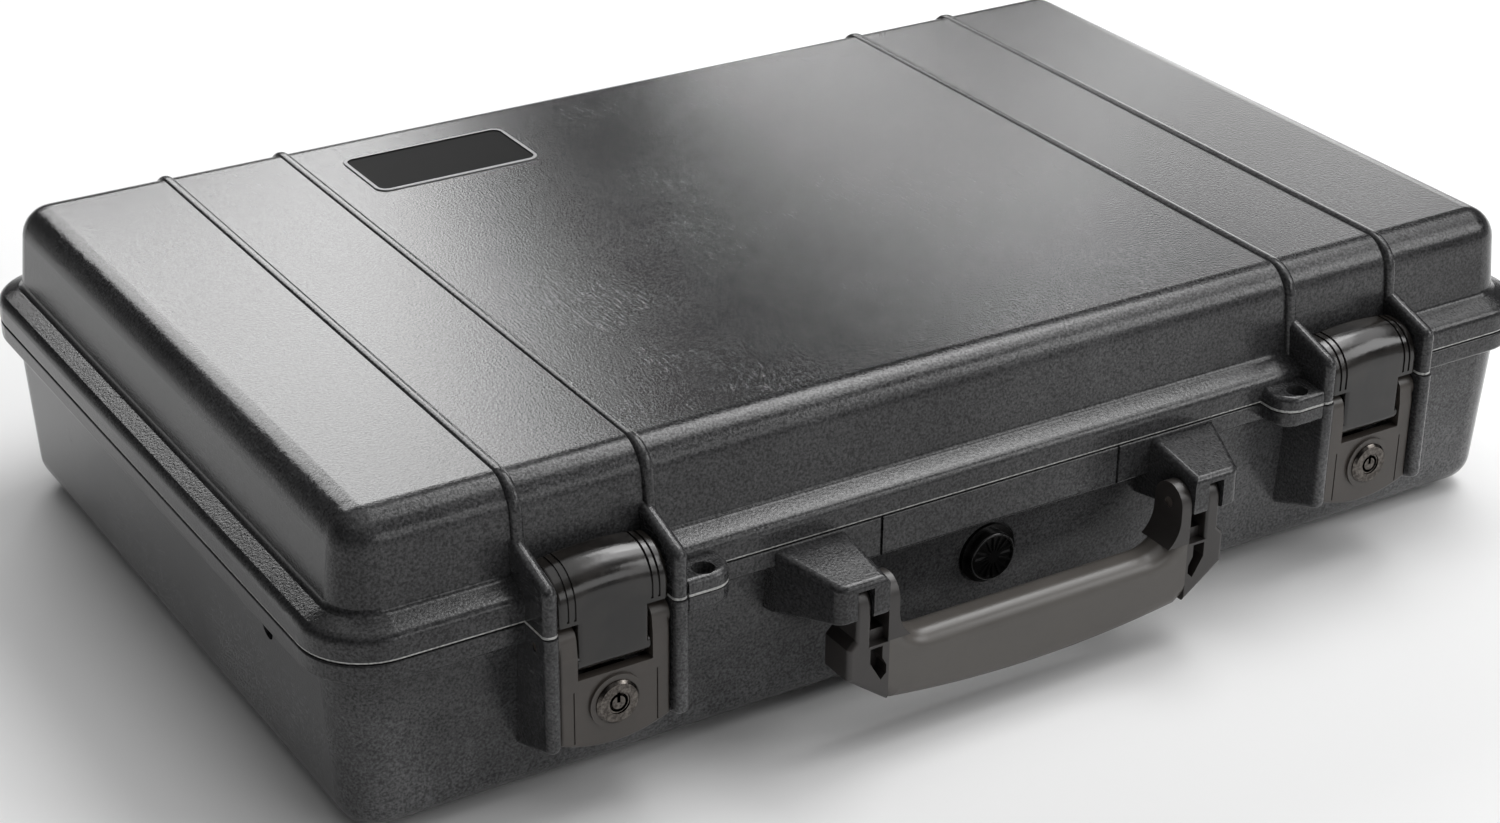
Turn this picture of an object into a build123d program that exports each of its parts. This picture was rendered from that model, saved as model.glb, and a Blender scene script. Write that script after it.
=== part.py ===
from build123d import *
import os

# Hard laptop case: a moulded base and lid on a rear hinge, two locking draw latches and a front handle.
# Millimetres. X runs along the length, -Y is the front with the latches and the handle, +Z is up.
# The origin is the bottom centre of the whole case's box.
# "proud" is a distance in front of the rim's front face.

# Overall
RIM_LENGTH = 508.0
RIM_DEPTH = 318.5
TOTAL_HEIGHT = 118.6
PART_Z = 73.6
RIM_CORNER_R = 24.0
LEAST_CORNER_R = 3.0
WALL = 4.0
PART_GAP = 0.4

# Base shell
FOOT_HEIGHT = 3.0
BASE_RIM_HEIGHT = 7.4
BASE_RIM_STEP = 6.0
BASE_DRAFT = 4.0
BASE_EDGE_R = 11.0
FOOT_WIDTH = 6.0
FOOT_END_INSET = 19.0
FOOT_EDGE_R = 1.8
FOOT_END_R = 2.7

# Lid shell
LID_RIM_HEIGHT = 8.8
LEDGE_WIDTH = 9.0
LEDGE_RISE = 3.6
LID_DRAFT = 3.5
LID_EDGE_R = 12.0
TOP_RIB_WIDTH = 4.4
TOP_RIB_RISE = 0.9
TOP_RIB_SWELL = 2.0
TOP_RIB_R = 1.9
TOP_RIB_OUTER_X = 183.2
TOP_RIB_INNER_X = 135.1
LID_BROW_R = 4.0
LID_FOOT_R = 2.6
PARTING_EDGE_R = 0.8

# Seal
SEAL_INSET = 5.6
SEAL_GROOVE_WIDTH = 4.2
SEAL_GROOVE_DEPTH = 4.6
SEAL_FIT = 0.3
SEAL_EDGE_R = 0.9
TONGUE_WIDTH = 2.4
TONGUE_RISE = 1.5

# Latches: both pairs of ribs, lever, claw and lock share these
LATCH_X = 160.25
LATCH_GAP = 42.0
LATCH_SIDE_FIT = 0.6
RIB_THICKNESS = 5.4
LID_RIB_PROUD = 13.4
BASE_RIB_PROUD = 14.2
RIB_EDGE_R = 2.4
LID_RIB_CORNER_R = 4.5
BASE_RIB_CORNER_R = 3.0
LID_RIB_TOP_Z = 99.0
LID_RIB_FRONT_Z = 91.0
BASE_RIB_BOTTOM_Z = 31.0
BASE_RIB_HEEL = 8.5
LEVER_PIVOT_PROUD = 5.7
LEVER_PIVOT_Z = 68.0
LEVER_EYE_R = 4.9
LEVER_FACE_PROUD = 11.2
LEVER_PLATE = 3.6
LEVER_PLATE_TOP_Z = 54.0
LEVER_SIDE_BOTTOM_Z = 31.0
LEVER_BOTTOM_Z = 26.6
ARM_THICKNESS = 6.6
ARM_FIT = 0.6
ARM_TAPER = 2.0
CLAW_PIVOT_PROUD = 6.8
CLAW_PIVOT_Z = 59.5
CLAW_FACE_PROUD = 10.6
CLAW_BACK_PROUD = -7.4
CLAW_TOP_Z = 93.6
CLAW_SHOULDER_Z = 74.6
CLAW_LEDGE_FIT = 0.4
CLAW_RIM_FIT = 0.7
CLAW_FRONT_R = 12.0
CLAW_BACK_R = 2.4
CLAW_CROWN_R = 110.0
CLAW_EDGE_R = 1.8
CLAW_GROOVE = 0.5
CLAW_GROOVE_WIDTH = 0.9
CLAW_GROOVE_OFFSETS = (16.6, 14.0)
CLAW_GROOVE_END_Z = 76.0
LATCH_PIN_R = 1.6
PIN_RUNNING_FIT = 0.05
PIN_SEAT_FIT = 0.02
PIN_CAP = 0.6
LEVER_EDGE_R = 1.3
PANEL_LINE = 0.5
PANEL_LINE_OFFSET = 15.4
PANEL_LINE_MARGIN = 4.0

# Locks
LOCK_Z = 42.6
LOCK_BEZEL_R = 7.9
LOCK_BOSS_R = 9.9
LOCK_BOSS_RISE = 0.9
LOCK_BARREL_R = 6.4
LOCK_BEZEL_RISE = 1.3
LOCK_BEZEL_CHAMFER = 0.9
PLUG_SINK = 0.4
KEY_RING_R = 3.4
KEY_POST_R = 2.4
KEY_DEPTH = 4.0
KEY_NOTCH = 1.2
LOCK_PLUG_R = 4.0
LOCK_FIT = 0.05
LOCK_BACK_PROUD = -1.6
CAM_THICKNESS = 2.0
CAM_REACH = 13.5
CAM_WIDTH = 8.6
CAM_HUB_MARGIN = 0.9
LOCK_NUT_R = 9.0
LOCK_NUT_THICKNESS = 2.6
CAM_FIT = 0.4
STRIKE_FIT = 0.8
STRIKE_WALL = 2.0
STRIKE_LIP = 5.0

# Padlock tabs
TAB_END_X = 115.3
TAB_PROUD = 13.0
TAB_CORNER_R = 8.5
LID_TAB_TOP_Z = 79.6
BASE_TAB_BOTTOM_Z = 67.2
PADLOCK_X = 125.4
PADLOCK_PROUD = 7.4
PADLOCK_R = 4.0

# Handle and its bosses
BOSS_INNER_X = 64.6
BOSS_FRONT_X = 84.0
BOSS_ROOT_X = 93.2
BOSS_PROUD = 26.5
BOSS_TOP_FRONT_Z = 67.8
BOSS_BOTTOM_FRONT_Z = 54.0
BOSS_BOTTOM_ROOT_Z = 47.5
BOSS_EDGE_R = 2.6
BOSS_CORNER_R = 4.6
HANDLE_PIVOT_PROUD = 18.0
HANDLE_PIVOT_Z = 57.0
HANDLE_HALF_THICKNESS = 7.7
HANDLE_SIDE_FIT = 0.45
HANDLE_ROOF_FIT = 0.5
HANDLE_SWING_FIT = 2.3
HANDLE_PIN_BITE = 3.4
HANDLE_STEP_DROP = 11.0
FRAME_EDGE_R = 1.8
POCKET_WEB = 1.6
POCKET_FLOOR = 11.0
POCKET_STEP = 2.2
POCKET_SLOPE = 4.6
LEG_EDGE_R = 1.2
INNER_LEG = 6.2
INNER_CHEEK = 4.3
OUTER_CHEEK = 5.6
LEG_R = 8.6
HANDLE_PIN_R = 2.0
HANDLE_OUTER_X = 80.0
HANDLE_SHOULDER_Z = 31.0
HANDLE_HEEL_X = 61.0
HANDLE_HEEL_Z = 17.0
HANDLE_BOTTOM_Z = 12.6
GRIP_HEIGHT = 27.0
HANDLE_INNER_R = 13.0
GRIP_EDGE_R = 6.2
GRIP_END_X = 63.6
GRIP_TOP_Z = 42.4
CORE_MARGIN = 5.0
CROSSBAR_RISE = 10.6
CROSSBAR_HEIGHT = 4.2
CROSSBAR_HALF = 4.2
SKIRT_BOTTOM_Z = 57.9
SKIRT_PLATE_X = 50.4
SKIRT_GROOVE = 1.1

# Vent valve
VENT_Z = 41.6
VENT_RECESS_R = 12.0
VENT_RECESS_PROUD = -8.2
VENT_FLANGE_R = 11.2
VENT_FLANGE = 1.8
VENT_CAP_R = 9.2
VENT_CAP = 3.2
VENT_STEM_R = 6.0
VENT_HOLE_FIT = 0.2
VENT_BORE_R = 3.6
VENT_STEM = 14.0
VENT_NUT_R = 9.5
VENT_NUT = 4.0
VENT_PAD = 1.4
MEMBRANE_R = 5.2
MEMBRANE = 0.6
GASKET = 1.0
GASKET_OUTER_R = 9.4
GASKET_INNER_R = 7.2
CAP_WALL = 1.2
CAP_EDGE_R = 0.8
CAP_HUB_R = 2.2
CAP_BAR = 0.7
CAP_BARS = 16
CAP_SLOTS = 6
CAP_SLOT = 3.0

# Rear hinge
HINGE_X = 159.0
HINGE_OUTSET = 3.4
KNUCKLE_R = 5.4
KNUCKLE_LENGTH = 15.0
KNUCKLE_SIDE_FIT = 0.4
KNUCKLE_SWING_FIT = 0.5
KNUCKLE_COUNT = 5
HINGE_PIN_R = 2.0

# Label place, strap sockets and foam
LABEL_LENGTH = 70.0
LABEL_WIDTH = 37.0
LABEL_R = 5.0
LABEL_X = -84.0
LABEL_BACK_INSET = 56.5
LABEL_RECESS = 0.8
LABEL_THICKNESS = 1.3
LABEL_BORDER = 1.4
LABEL_FIT = 0.15
LABEL_SINK = 0.4
STRAP_SOCKET_FRONT_INSET = 65.0
STRAP_SOCKET_Z = 57.0
STRAP_SOCKET_R = 4.0
STRAP_SOCKET_DEPTH = 2.2
FOAM_FIT = 0.4
FOAM_EDGE_R = 6.0
FOAM_PAD = 10.0
FOAM_TRAY_TOP_GAP = 3.4
POCKET_LENGTH = 384.0
POCKET_DEPTH = 254.0
LID_FOAM_CLEAR = 15.7
VENT_RELIEF = 4.0

# Places worked out from the sizes above
TOTAL_DEPTH = RIM_DEPTH + BOSS_PROUD + HINGE_OUTSET + KNUCKLE_R
RIM_FRONT_Y = -TOTAL_DEPTH / 2 + BOSS_PROUD
RIM_CENTRE_Y = RIM_FRONT_Y + RIM_DEPTH / 2
RIM_BACK_Y = RIM_FRONT_Y + RIM_DEPTH
HINGE_Y = RIM_BACK_Y + HINGE_OUTSET
BASE_TOP_Z = PART_Z - PART_GAP / 2
LID_BOTTOM_Z = PART_Z + PART_GAP / 2
BASE_RIM_Z = BASE_TOP_Z - BASE_RIM_HEIGHT
LID_RIM_Z = LID_BOTTOM_Z + LID_RIM_HEIGHT
LID_WALL_Z = LID_RIM_Z + LEDGE_RISE
LID_TOP_Z = TOTAL_HEIGHT - TOP_RIB_RISE
RIB_OFFSET = (LATCH_GAP + RIB_THICKNESS) / 2
LATCH_WIDTH = LATCH_GAP - 2 * LATCH_SIDE_FIT
TONGUE_HALF = LATCH_WIDTH / 2 - ARM_THICKNESS - ARM_FIT


def y_of(proud):
    """The Y of a point this far in front of the rim's front face."""
    return RIM_FRONT_Y - proud


def wall_proud(z):
    """Where the base's front wall lies at a height, as a proud distance."""
    rise = (BASE_RIM_Z - z) / (BASE_RIM_Z - FOOT_HEIGHT)
    return -(BASE_RIM_STEP + BASE_DRAFT * rise)


def outline(inset, z):
    """The rim's plan outline, moved inwards and placed at a height."""
    corner = max(RIM_CORNER_R - inset, LEAST_CORNER_R)
    sketch = RectangleRounded(RIM_LENGTH - 2 * inset, RIM_DEPTH - 2 * inset, corner)
    return Pos(0, RIM_CENTRE_Y, z) * sketch


def band(inset, low_z, high_z):
    """A straight-sided block on the rim's outline."""
    return extrude(outline(inset, low_z), high_z - low_z)


def tub(low_inset, low_z, high_inset, high_z):
    """A block whose sides slope between two outlines."""
    return loft([outline(low_inset, low_z), outline(high_inset, high_z)], ruled=True)


def side_plate(points, x_low, x_high):
    """A plate in the YZ plane: its outline is given as (proud, z) and it spans x_low to x_high."""
    corners = [(y_of(proud), z) for proud, z in points]
    face = make_face(Polyline(*corners, close=True))
    return extrude(Plane.YZ.offset(x_low) * face, x_high - x_low)


def box(x_low, x_high, y_low, y_high, z_low, z_high):
    """A box from its limits."""
    centre = ((x_low + x_high) / 2, (y_low + y_high) / 2, (z_low + z_high) / 2)
    return Pos(*centre) * Box(x_high - x_low, y_high - y_low, z_high - z_low)


def proud_box(x_low, x_high, proud_low, proud_high, z_low, z_high):
    """A box whose depth is given as proud distances."""
    return box(x_low, x_high, y_of(proud_high), y_of(proud_low), z_low, z_high)


def x_rod(radius, x_low, x_high, y, z):
    """A round bar along X."""
    return Pos((x_low + x_high) / 2, y, z) * Rot(0, 90, 0) * Cylinder(radius, x_high - x_low)


def y_rod(radius, x, z, proud_low, proud_high):
    """A round bar along Y, given as proud distances."""
    middle = y_of((proud_low + proud_high) / 2)
    return Pos(x, middle, z) * Rot(90, 0, 0) * Cylinder(radius, proud_high - proud_low)


def rounded(shape, edges, radius):
    """The shape with the given edges rounded, or as it is where there are none."""
    return fillet(edges, radius) if edges else shape


def on_rim(edge):
    """Whether an edge lies on the rim's outermost faces."""
    spot = edge @ 0.5
    beyond = abs(spot.X) > RIM_LENGTH / 2 - RIM_CORNER_R / 2
    return beyond or abs(spot.Y - RIM_CENTRE_Y) > RIM_DEPTH / 2 - RIM_CORNER_R / 2


def both_sides(shape):
    """The shape and its mirror image in the YZ plane."""
    return [shape, mirror(shape, Plane.YZ)]


# Lid shell


def ledge_z(proud):
    """The height of the lid's sloping ledge at a place behind the rim's front face."""
    return LID_RIM_Z + LEDGE_RISE * min(-proud, LEDGE_WIDTH) / LEDGE_WIDTH


def lid_form(rise, swell):
    """The lid's outer form above the rim, with its top raised and its walls moved outwards."""
    low = LEDGE_WIDTH - swell
    form = tub(low, LID_RIM_Z, low + LID_DRAFT, LID_TOP_Z + rise)
    top_edges = form.faces().sort_by(Axis.Z)[-1].edges()
    return fillet(top_edges, LID_EDGE_R + rise)


def top_rib(x):
    """One raised rib over the lid, from the front ledge to the back one."""
    half = TOP_RIB_WIDTH / 2
    slab = box(x - half, x + half, RIM_FRONT_Y, RIM_BACK_Y, LID_RIM_Z, TOTAL_HEIGHT + 1)
    rib = lid_form(TOP_RIB_RISE, TOP_RIB_SWELL) & slab
    long_edges = []
    for side in (x - half, x + half):
        face = rib.faces().sort_by_distance((side, RIM_CENTRE_Y, LID_TOP_Z))[0]
        low_z = face.bounding_box().min.Z
        long_edges += [edge for edge in face.edges() if edge.center().Z > low_z + 0.1]
    return fillet(long_edges, TOP_RIB_R)


def latch_ribs(points, corner, corner_r, flat_z):
    """The four ribs beside the latches: a YZ outline with one rounded corner and rounded outer edges."""
    ribs = []
    for offset in (-RIB_OFFSET, RIB_OFFSET):
        middle = LATCH_X + offset
        low = middle - RIB_THICKNESS / 2
        plate = side_plate(points, low, low + RIB_THICKNESS)
        across = plate.edges().filter_by(Axis.X)
        bend = across.sort_by_distance((middle, y_of(corner[0]), corner[1]))[0]
        plate = fillet(bend, corner_r)
        outer = []
        for edge in plate.edges():
            spot = edge.center()
            free = abs(spot.X - middle) > 0.1 and abs(spot.Z - flat_z) > 0.1
            if free and spot.Y < y_of(-BASE_RIM_STEP - WALL / 2):
                outer.append(edge)
        ribs += both_sides(rounded(plate, outer, RIB_EDGE_R))
    return ribs


def padlock_tab(low_z, high_z):
    """One shell's drilled tab between the rim's front face and the inner latch rib."""
    root_x = LATCH_X - RIB_OFFSET - RIB_THICKNESS / 2
    tab = proud_box(TAB_END_X, root_x, 0, TAB_PROUD, low_z, high_z)
    corner = tab.edges().filter_by(Axis.Z).sort_by_distance((TAB_END_X, y_of(TAB_PROUD), low_z))[0]
    tab = fillet(corner, TAB_CORNER_R)
    face_z = low_z if low_z < PART_Z - PART_GAP else high_z
    rim = [edge for edge in tab.edges() if abs(edge.center().Z - face_z) < 0.01]
    outer = [edge for edge in rim if edge.center().Y < y_of(0) and edge.center().X < root_x - 0.1]
    tab = fillet(outer, RIB_EDGE_R)
    hole = Pos(PADLOCK_X, y_of(PADLOCK_PROUD), (low_z + high_z) / 2) * Cylinder(PADLOCK_R, high_z - low_z + 2)
    return tab - hole


def knuckle_spans(first):
    """The X limits of every second hinge knuckle, both groups, from the given one."""
    pitch = KNUCKLE_LENGTH + KNUCKLE_SIDE_FIT
    spans = []
    for group in (-HINGE_X, HINGE_X):
        for number in range(first, KNUCKLE_COUNT, 2):
            low = group + (number - KNUCKLE_COUNT / 2) * pitch + KNUCKLE_SIDE_FIT / 2
            spans.append((low, low + KNUCKLE_LENGTH))
    return spans


def knuckles(first, low_z, high_z):
    """The hinge knuckles of one shell, each with the web that carries it between two heights."""
    bars = []
    for low, high in knuckle_spans(first):
        bars.append(x_rod(KNUCKLE_R, low, high, HINGE_Y, PART_Z))
        bars.append(box(low, high, RIM_BACK_Y - WALL / 2, HINGE_Y + KNUCKLE_R, low_z, high_z))
    return bars


def knuckle_clearances(first):
    """The room that one shell leaves for the other shell's knuckles."""
    reach = KNUCKLE_R + KNUCKLE_SWING_FIT
    fit = KNUCKLE_SIDE_FIT
    return [x_rod(reach, low - fit, high + fit, HINGE_Y, PART_Z) for low, high in knuckle_spans(first)]


def hinge_bores(first, fit):
    """The pin holes through one shell's knuckles."""
    radius = HINGE_PIN_R + fit
    return [x_rod(radius, low - 1, high + 1, HINGE_Y, PART_Z) for low, high in knuckle_spans(first)]


def label_place():
    """The middle of the label on the lid's top."""
    return Pos(LABEL_X, RIM_BACK_Y - LABEL_BACK_INSET, LID_TOP_Z)


def lid_shell():
    """The lid: rim, sloping ledge, domed tray, ribs and knuckles."""
    rim = band(0, LID_BOTTOM_Z, LID_RIM_Z)
    ledge = tub(0, LID_RIM_Z, 1.2 * LEDGE_WIDTH, LID_RIM_Z + 1.2 * LEDGE_RISE)
    shell = rim + ledge + lid_form(0, 0)
    foot = [edge for edge in shell.edges() if LID_RIM_Z + LEDGE_RISE / 2 < edge.center().Z < LID_WALL_Z + 1]
    shell = fillet(foot, LID_FOOT_R)
    brow = [edge for edge in shell.edges() if abs(edge.center().Z - LID_RIM_Z) < 0.01]
    shell = fillet([edge for edge in brow if on_rim(edge)], LID_BROW_R)
    low_rim = [edge for edge in shell.edges() if abs(edge.center().Z - LID_BOTTOM_Z) < 0.01]
    shell = fillet(low_rim, PARTING_EDGE_R)
    for x in (TOP_RIB_OUTER_X, TOP_RIB_INNER_X):
        shell = shell + both_sides(top_rib(x))
    root = -(LEDGE_WIDTH + LID_DRAFT / 2)
    front_z = LID_RIB_FRONT_Z
    rib_points = [(root, LID_BOTTOM_Z), (LID_RIB_PROUD, LID_BOTTOM_Z), (LID_RIB_PROUD, front_z)]
    rib_points += [(root, LID_RIB_TOP_Z)]
    shell = shell + latch_ribs(rib_points, (LID_RIB_PROUD, front_z), LID_RIB_CORNER_R, LID_BOTTOM_Z)
    shell = shell + knuckles(1, LID_BOTTOM_Z, LID_RIM_Z - 2 * PARTING_EDGE_R)
    inset = LEDGE_WIDTH + WALL
    hollow = tub(inset, LID_BOTTOM_Z - 1, inset + LID_DRAFT, LID_TOP_Z - WALL)
    hollow = fillet(hollow.faces().sort_by(Axis.Z)[-1].edges(), LID_EDGE_R - WALL)
    half_groove = SEAL_GROOVE_WIDTH / 2
    groove = band(SEAL_INSET - half_groove, LID_BOTTOM_Z - 1, LID_BOTTOM_Z + SEAL_GROOVE_DEPTH)
    groove = groove - band(SEAL_INSET + half_groove, LID_BOTTOM_Z - 2, LID_RIM_Z + 1)
    recess = label_place() * extrude(RectangleRounded(LABEL_LENGTH, LABEL_WIDTH, LABEL_R), -LABEL_RECESS)
    cuts = [hollow, groove, recess] + knuckle_clearances(0)
    return shell - cuts - hinge_bores(1, PIN_RUNNING_FIT)


# Base shell


def boss():
    """One handle boss: a hooded block, slotted for the handle's outer cheek, with a rounded inner leg."""
    root = -(BASE_RIM_STEP + WALL / 2)
    plan = [(BOSS_INNER_X, y_of(root)), (BOSS_ROOT_X, y_of(root)), (BOSS_ROOT_X, y_of(1))]
    plan += [(BOSS_FRONT_X, y_of(BOSS_PROUD)), (BOSS_INNER_X, y_of(BOSS_PROUD))]
    block = extrude(Pos(0, 0, BOSS_BOTTOM_ROOT_Z) * make_face(Polyline(*plan, close=True)), BASE_RIM_Z)
    top_z = BASE_TOP_Z - PARTING_EDGE_R
    side = [(root, BOSS_BOTTOM_ROOT_Z), (root, top_z), (0, top_z)]
    side += [(BOSS_PROUD, BOSS_TOP_FRONT_Z), (BOSS_PROUD, BOSS_BOTTOM_FRONT_Z)]
    block = block & side_plate(side, BOSS_INNER_X - 1, BOSS_ROOT_X + 1)
    spot = (BOSS_FRONT_X, y_of(BOSS_PROUD), BOSS_TOP_FRONT_Z)
    upright = block.edges().filter_by(Axis.Z).sort_by_distance(spot)[0]
    block = fillet(upright, BOSS_CORNER_R)
    hood = block.faces().filter_by(lambda face: face.normal_at().Z > 0.5 and face.normal_at().Y < -0.1)
    crest = [edge for edge in hood[0].edges() if edge.center().Y < y_of(0.5)]
    block = fillet(crest, BOSS_EDGE_R)
    belly = block.faces().filter_by(lambda face: face.normal_at().Z < -0.5 and face.normal_at().Y < -0.05)
    lower = [edge for edge in belly[0].edges() if edge.center().Y < y_of(0.5)]
    block = fillet(lower, BOSS_EDGE_R / 2)
    slot_low = BOSS_INNER_X + INNER_LEG
    slot_high = slot_low + OUTER_CHEEK + 2 * HANDLE_SIDE_FIT
    back = HANDLE_PIVOT_PROUD - HANDLE_HALF_THICKNESS - HANDLE_SWING_FIT
    roof_z = HANDLE_PIVOT_Z + HANDLE_HALF_THICKNESS + HANDLE_ROOF_FIT
    block = block - proud_box(slot_low, slot_high, back, BOSS_PROUD + 1, BOSS_BOTTOM_ROOT_Z - 1, roof_z)
    room = proud_box(
        BOSS_INNER_X - 1, slot_low, back - 1, BOSS_PROUD + 1, BOSS_BOTTOM_ROOT_Z - 1, HANDLE_PIVOT_Z
    )
    pivot_y = y_of(HANDLE_PIVOT_PROUD)
    return block - (room - x_rod(LEG_R, BOSS_INNER_X - 2, slot_low + 1, pivot_y, HANDLE_PIVOT_Z))


def foot(x):
    """One of the ribs under the base that the case stands on."""
    half_depth = RIM_DEPTH / 2 - FOOT_END_INSET
    bar = box(
        x - FOOT_WIDTH / 2, x + FOOT_WIDTH / 2, RIM_CENTRE_Y - half_depth, RIM_CENTRE_Y + half_depth,
        0, FOOT_HEIGHT + BASE_EDGE_R / 2,
    )
    ends = [edge for edge in bar.edges().filter_by(Axis.X) if edge.center().Z < 0.1]
    bar = fillet(ends, FOOT_END_R)
    sides = [edge for edge in bar.edges().filter_by(Axis.Y) if edge.center().Z < 0.1]
    return fillet(sides, FOOT_EDGE_R)


def strike():
    """The lug on the base's front wall that a turned lock cam catches behind."""
    lip_back = LOCK_BACK_PROUD + STRIKE_FIT
    tip_z = LOCK_Z - CAM_REACH
    low_z = tip_z - STRIKE_FIT - STRIKE_WALL
    root = wall_proud(low_z) - WALL / 2
    half = CAM_WIDTH / 2 + STRIKE_FIT
    lip = proud_box(LATCH_X - half, LATCH_X + half, root, lip_back + STRIKE_WALL, low_z, tip_z + STRIKE_LIP)
    room = proud_box(LATCH_X - half, LATCH_X + half + 1, root, lip_back, low_z + STRIKE_WALL, LOCK_Z)
    side_web = proud_box(
        LATCH_X - half - STRIKE_WALL, LATCH_X - half, root, lip_back + STRIKE_WALL, low_z, tip_z + STRIKE_LIP
    )
    lug = lip - room + side_web
    return [lug, Pos(-2 * LATCH_X, 0, 0) * lug]


def base_shell():
    """The base: tub, rim with its tongue, feet, latch ribs, bosses, strikes and knuckles."""
    low_inset = BASE_RIM_STEP + BASE_DRAFT
    body = tub(low_inset, FOOT_HEIGHT, BASE_RIM_STEP, BASE_RIM_Z)
    body = fillet(body.faces().sort_by(Axis.Z)[0].edges(), BASE_EDGE_R)
    rim = band(0, BASE_RIM_Z, BASE_TOP_Z)
    rim = fillet(rim.faces().sort_by(Axis.Z)[0].edges(), 2 * PARTING_EDGE_R)
    rim = fillet(rim.faces().sort_by(Axis.Z)[-1].edges(), PARTING_EDGE_R)
    shell = body + rim
    for x in (TOP_RIB_OUTER_X, TOP_RIB_INNER_X):
        shell = shell + both_sides(foot(x))
    root = -(BASE_RIM_STEP + BASE_DRAFT / 2 + WALL / 2)
    low_z = BASE_RIB_BOTTOM_Z
    rib_points = [(root, BASE_TOP_Z), (BASE_RIB_PROUD, BASE_TOP_Z), (BASE_RIB_PROUD, low_z)]
    rib_points += [(root, low_z - BASE_RIB_HEEL)]
    shell = shell + latch_ribs(rib_points, (BASE_RIB_PROUD, low_z), BASE_RIB_CORNER_R, BASE_TOP_Z)
    skirt = proud_box(
        -BOSS_INNER_X - 1, BOSS_INNER_X + 1, -BASE_RIM_STEP - WALL / 2, 0, SKIRT_BOTTOM_Z,
        BASE_TOP_Z - PARTING_EDGE_R,
    )
    lower = skirt.edges().filter_by(Axis.X).sort_by_distance((0, y_of(0), SKIRT_BOTTOM_Z))[0]
    shell = shell + fillet(lower, 2 * PARTING_EDGE_R)
    shell = shell + both_sides(boss()) + strike()
    shell = shell + knuckles(0, BASE_RIM_Z, BASE_TOP_Z)
    half_tongue = TONGUE_WIDTH / 2
    tongue = band(SEAL_INSET - half_tongue, BASE_RIM_Z, BASE_TOP_Z + TONGUE_RISE)
    shell = shell + (tongue - band(SEAL_INSET + half_tongue, BASE_RIM_Z - 1, PART_Z + TONGUE_RISE + 1))
    inset = low_inset + WALL
    hollow = tub(inset, FOOT_HEIGHT + WALL, inset - BASE_DRAFT, BASE_RIM_Z)
    hollow = fillet(hollow.faces().sort_by(Axis.Z)[0].edges(), BASE_EDGE_R - WALL)
    hollow = hollow + band(inset - BASE_DRAFT, BASE_RIM_Z, PART_Z + TONGUE_RISE + 1)
    shell = shell - hollow
    seat = wall_proud(VENT_Z) - WALL - VENT_PAD
    shell = shell + y_rod(VENT_NUT_R + 2, 0, VENT_Z, seat, wall_proud(VENT_Z) - WALL / 2)
    cuts = knuckle_clearances(1) + hinge_bores(0, PIN_SEAT_FIT)
    cuts.append(y_rod(VENT_RECESS_R, 0, VENT_Z, VENT_RECESS_PROUD, 0))
    cuts.append(y_rod(VENT_STEM_R + VENT_HOLE_FIT, 0, VENT_Z, seat - 1, VENT_RECESS_PROUD + 1))
    for x in (-SKIRT_PLATE_X, SKIRT_PLATE_X):
        half = SKIRT_GROOVE / 2
        cuts.append(proud_box(x - half, x + half, -SKIRT_GROOVE, 1, SKIRT_BOTTOM_Z - 1, BASE_TOP_Z + 1))
    pivot_y = y_of(LEVER_PIVOT_PROUD)
    ribs_low = LATCH_X - RIB_OFFSET - RIB_THICKNESS / 2
    ribs_high = LATCH_X + RIB_OFFSET + RIB_THICKNESS / 2
    radius = LATCH_PIN_R + PIN_RUNNING_FIT
    cuts += both_sides(x_rod(radius, ribs_low + 1, ribs_high + 1, pivot_y, LEVER_PIVOT_Z))
    pin_end = BOSS_INNER_X + INNER_LEG + OUTER_CHEEK + 2 * HANDLE_SIDE_FIT + HANDLE_PIN_BITE
    pin_y = y_of(HANDLE_PIVOT_PROUD)
    bore = x_rod(HANDLE_PIN_R + PIN_SEAT_FIT, BOSS_INNER_X - 1, pin_end, pin_y, HANDLE_PIVOT_Z)
    cuts += both_sides(bore)
    socket_y = RIM_FRONT_Y + STRAP_SOCKET_FRONT_INSET
    wall_x = RIM_LENGTH / 2 + wall_proud(STRAP_SOCKET_Z)
    socket = x_rod(STRAP_SOCKET_R, wall_x - STRAP_SOCKET_DEPTH, wall_x + 2, socket_y, STRAP_SOCKET_Z)
    cuts += both_sides(socket)
    return shell - cuts


# Latches


def claw_head():
    """The claw's head: a block over the ledge, crowned across its width and rounded round its outer faces."""
    face = CLAW_FACE_PROUD
    ledge_edge = ledge_z(0) + CLAW_LEDGE_FIT
    ledge_back = ledge_z(CLAW_BACK_PROUD) + CLAW_LEDGE_FIT
    points = [(CLAW_BACK_PROUD, ledge_back), (CLAW_BACK_PROUD, CLAW_TOP_Z), (face, CLAW_TOP_Z)]
    points += [(face, CLAW_SHOULDER_Z), (CLAW_RIM_FIT, CLAW_SHOULDER_Z), (CLAW_RIM_FIT, ledge_edge)]
    head = side_plate(points, LATCH_X - LATCH_WIDTH / 2, LATCH_X + LATCH_WIDTH / 2)
    head = head & y_rod(CLAW_CROWN_R, LATCH_X, CLAW_TOP_Z - CLAW_CROWN_R, CLAW_BACK_PROUD - 1, face + 1)
    for proud, radius in ((face, CLAW_FRONT_R), (CLAW_BACK_PROUD, CLAW_BACK_R)):
        crest = head.edges().sort_by_distance((LATCH_X, y_of(proud), CLAW_TOP_Z))[0]
        head = fillet(crest, radius)
    return head


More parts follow.
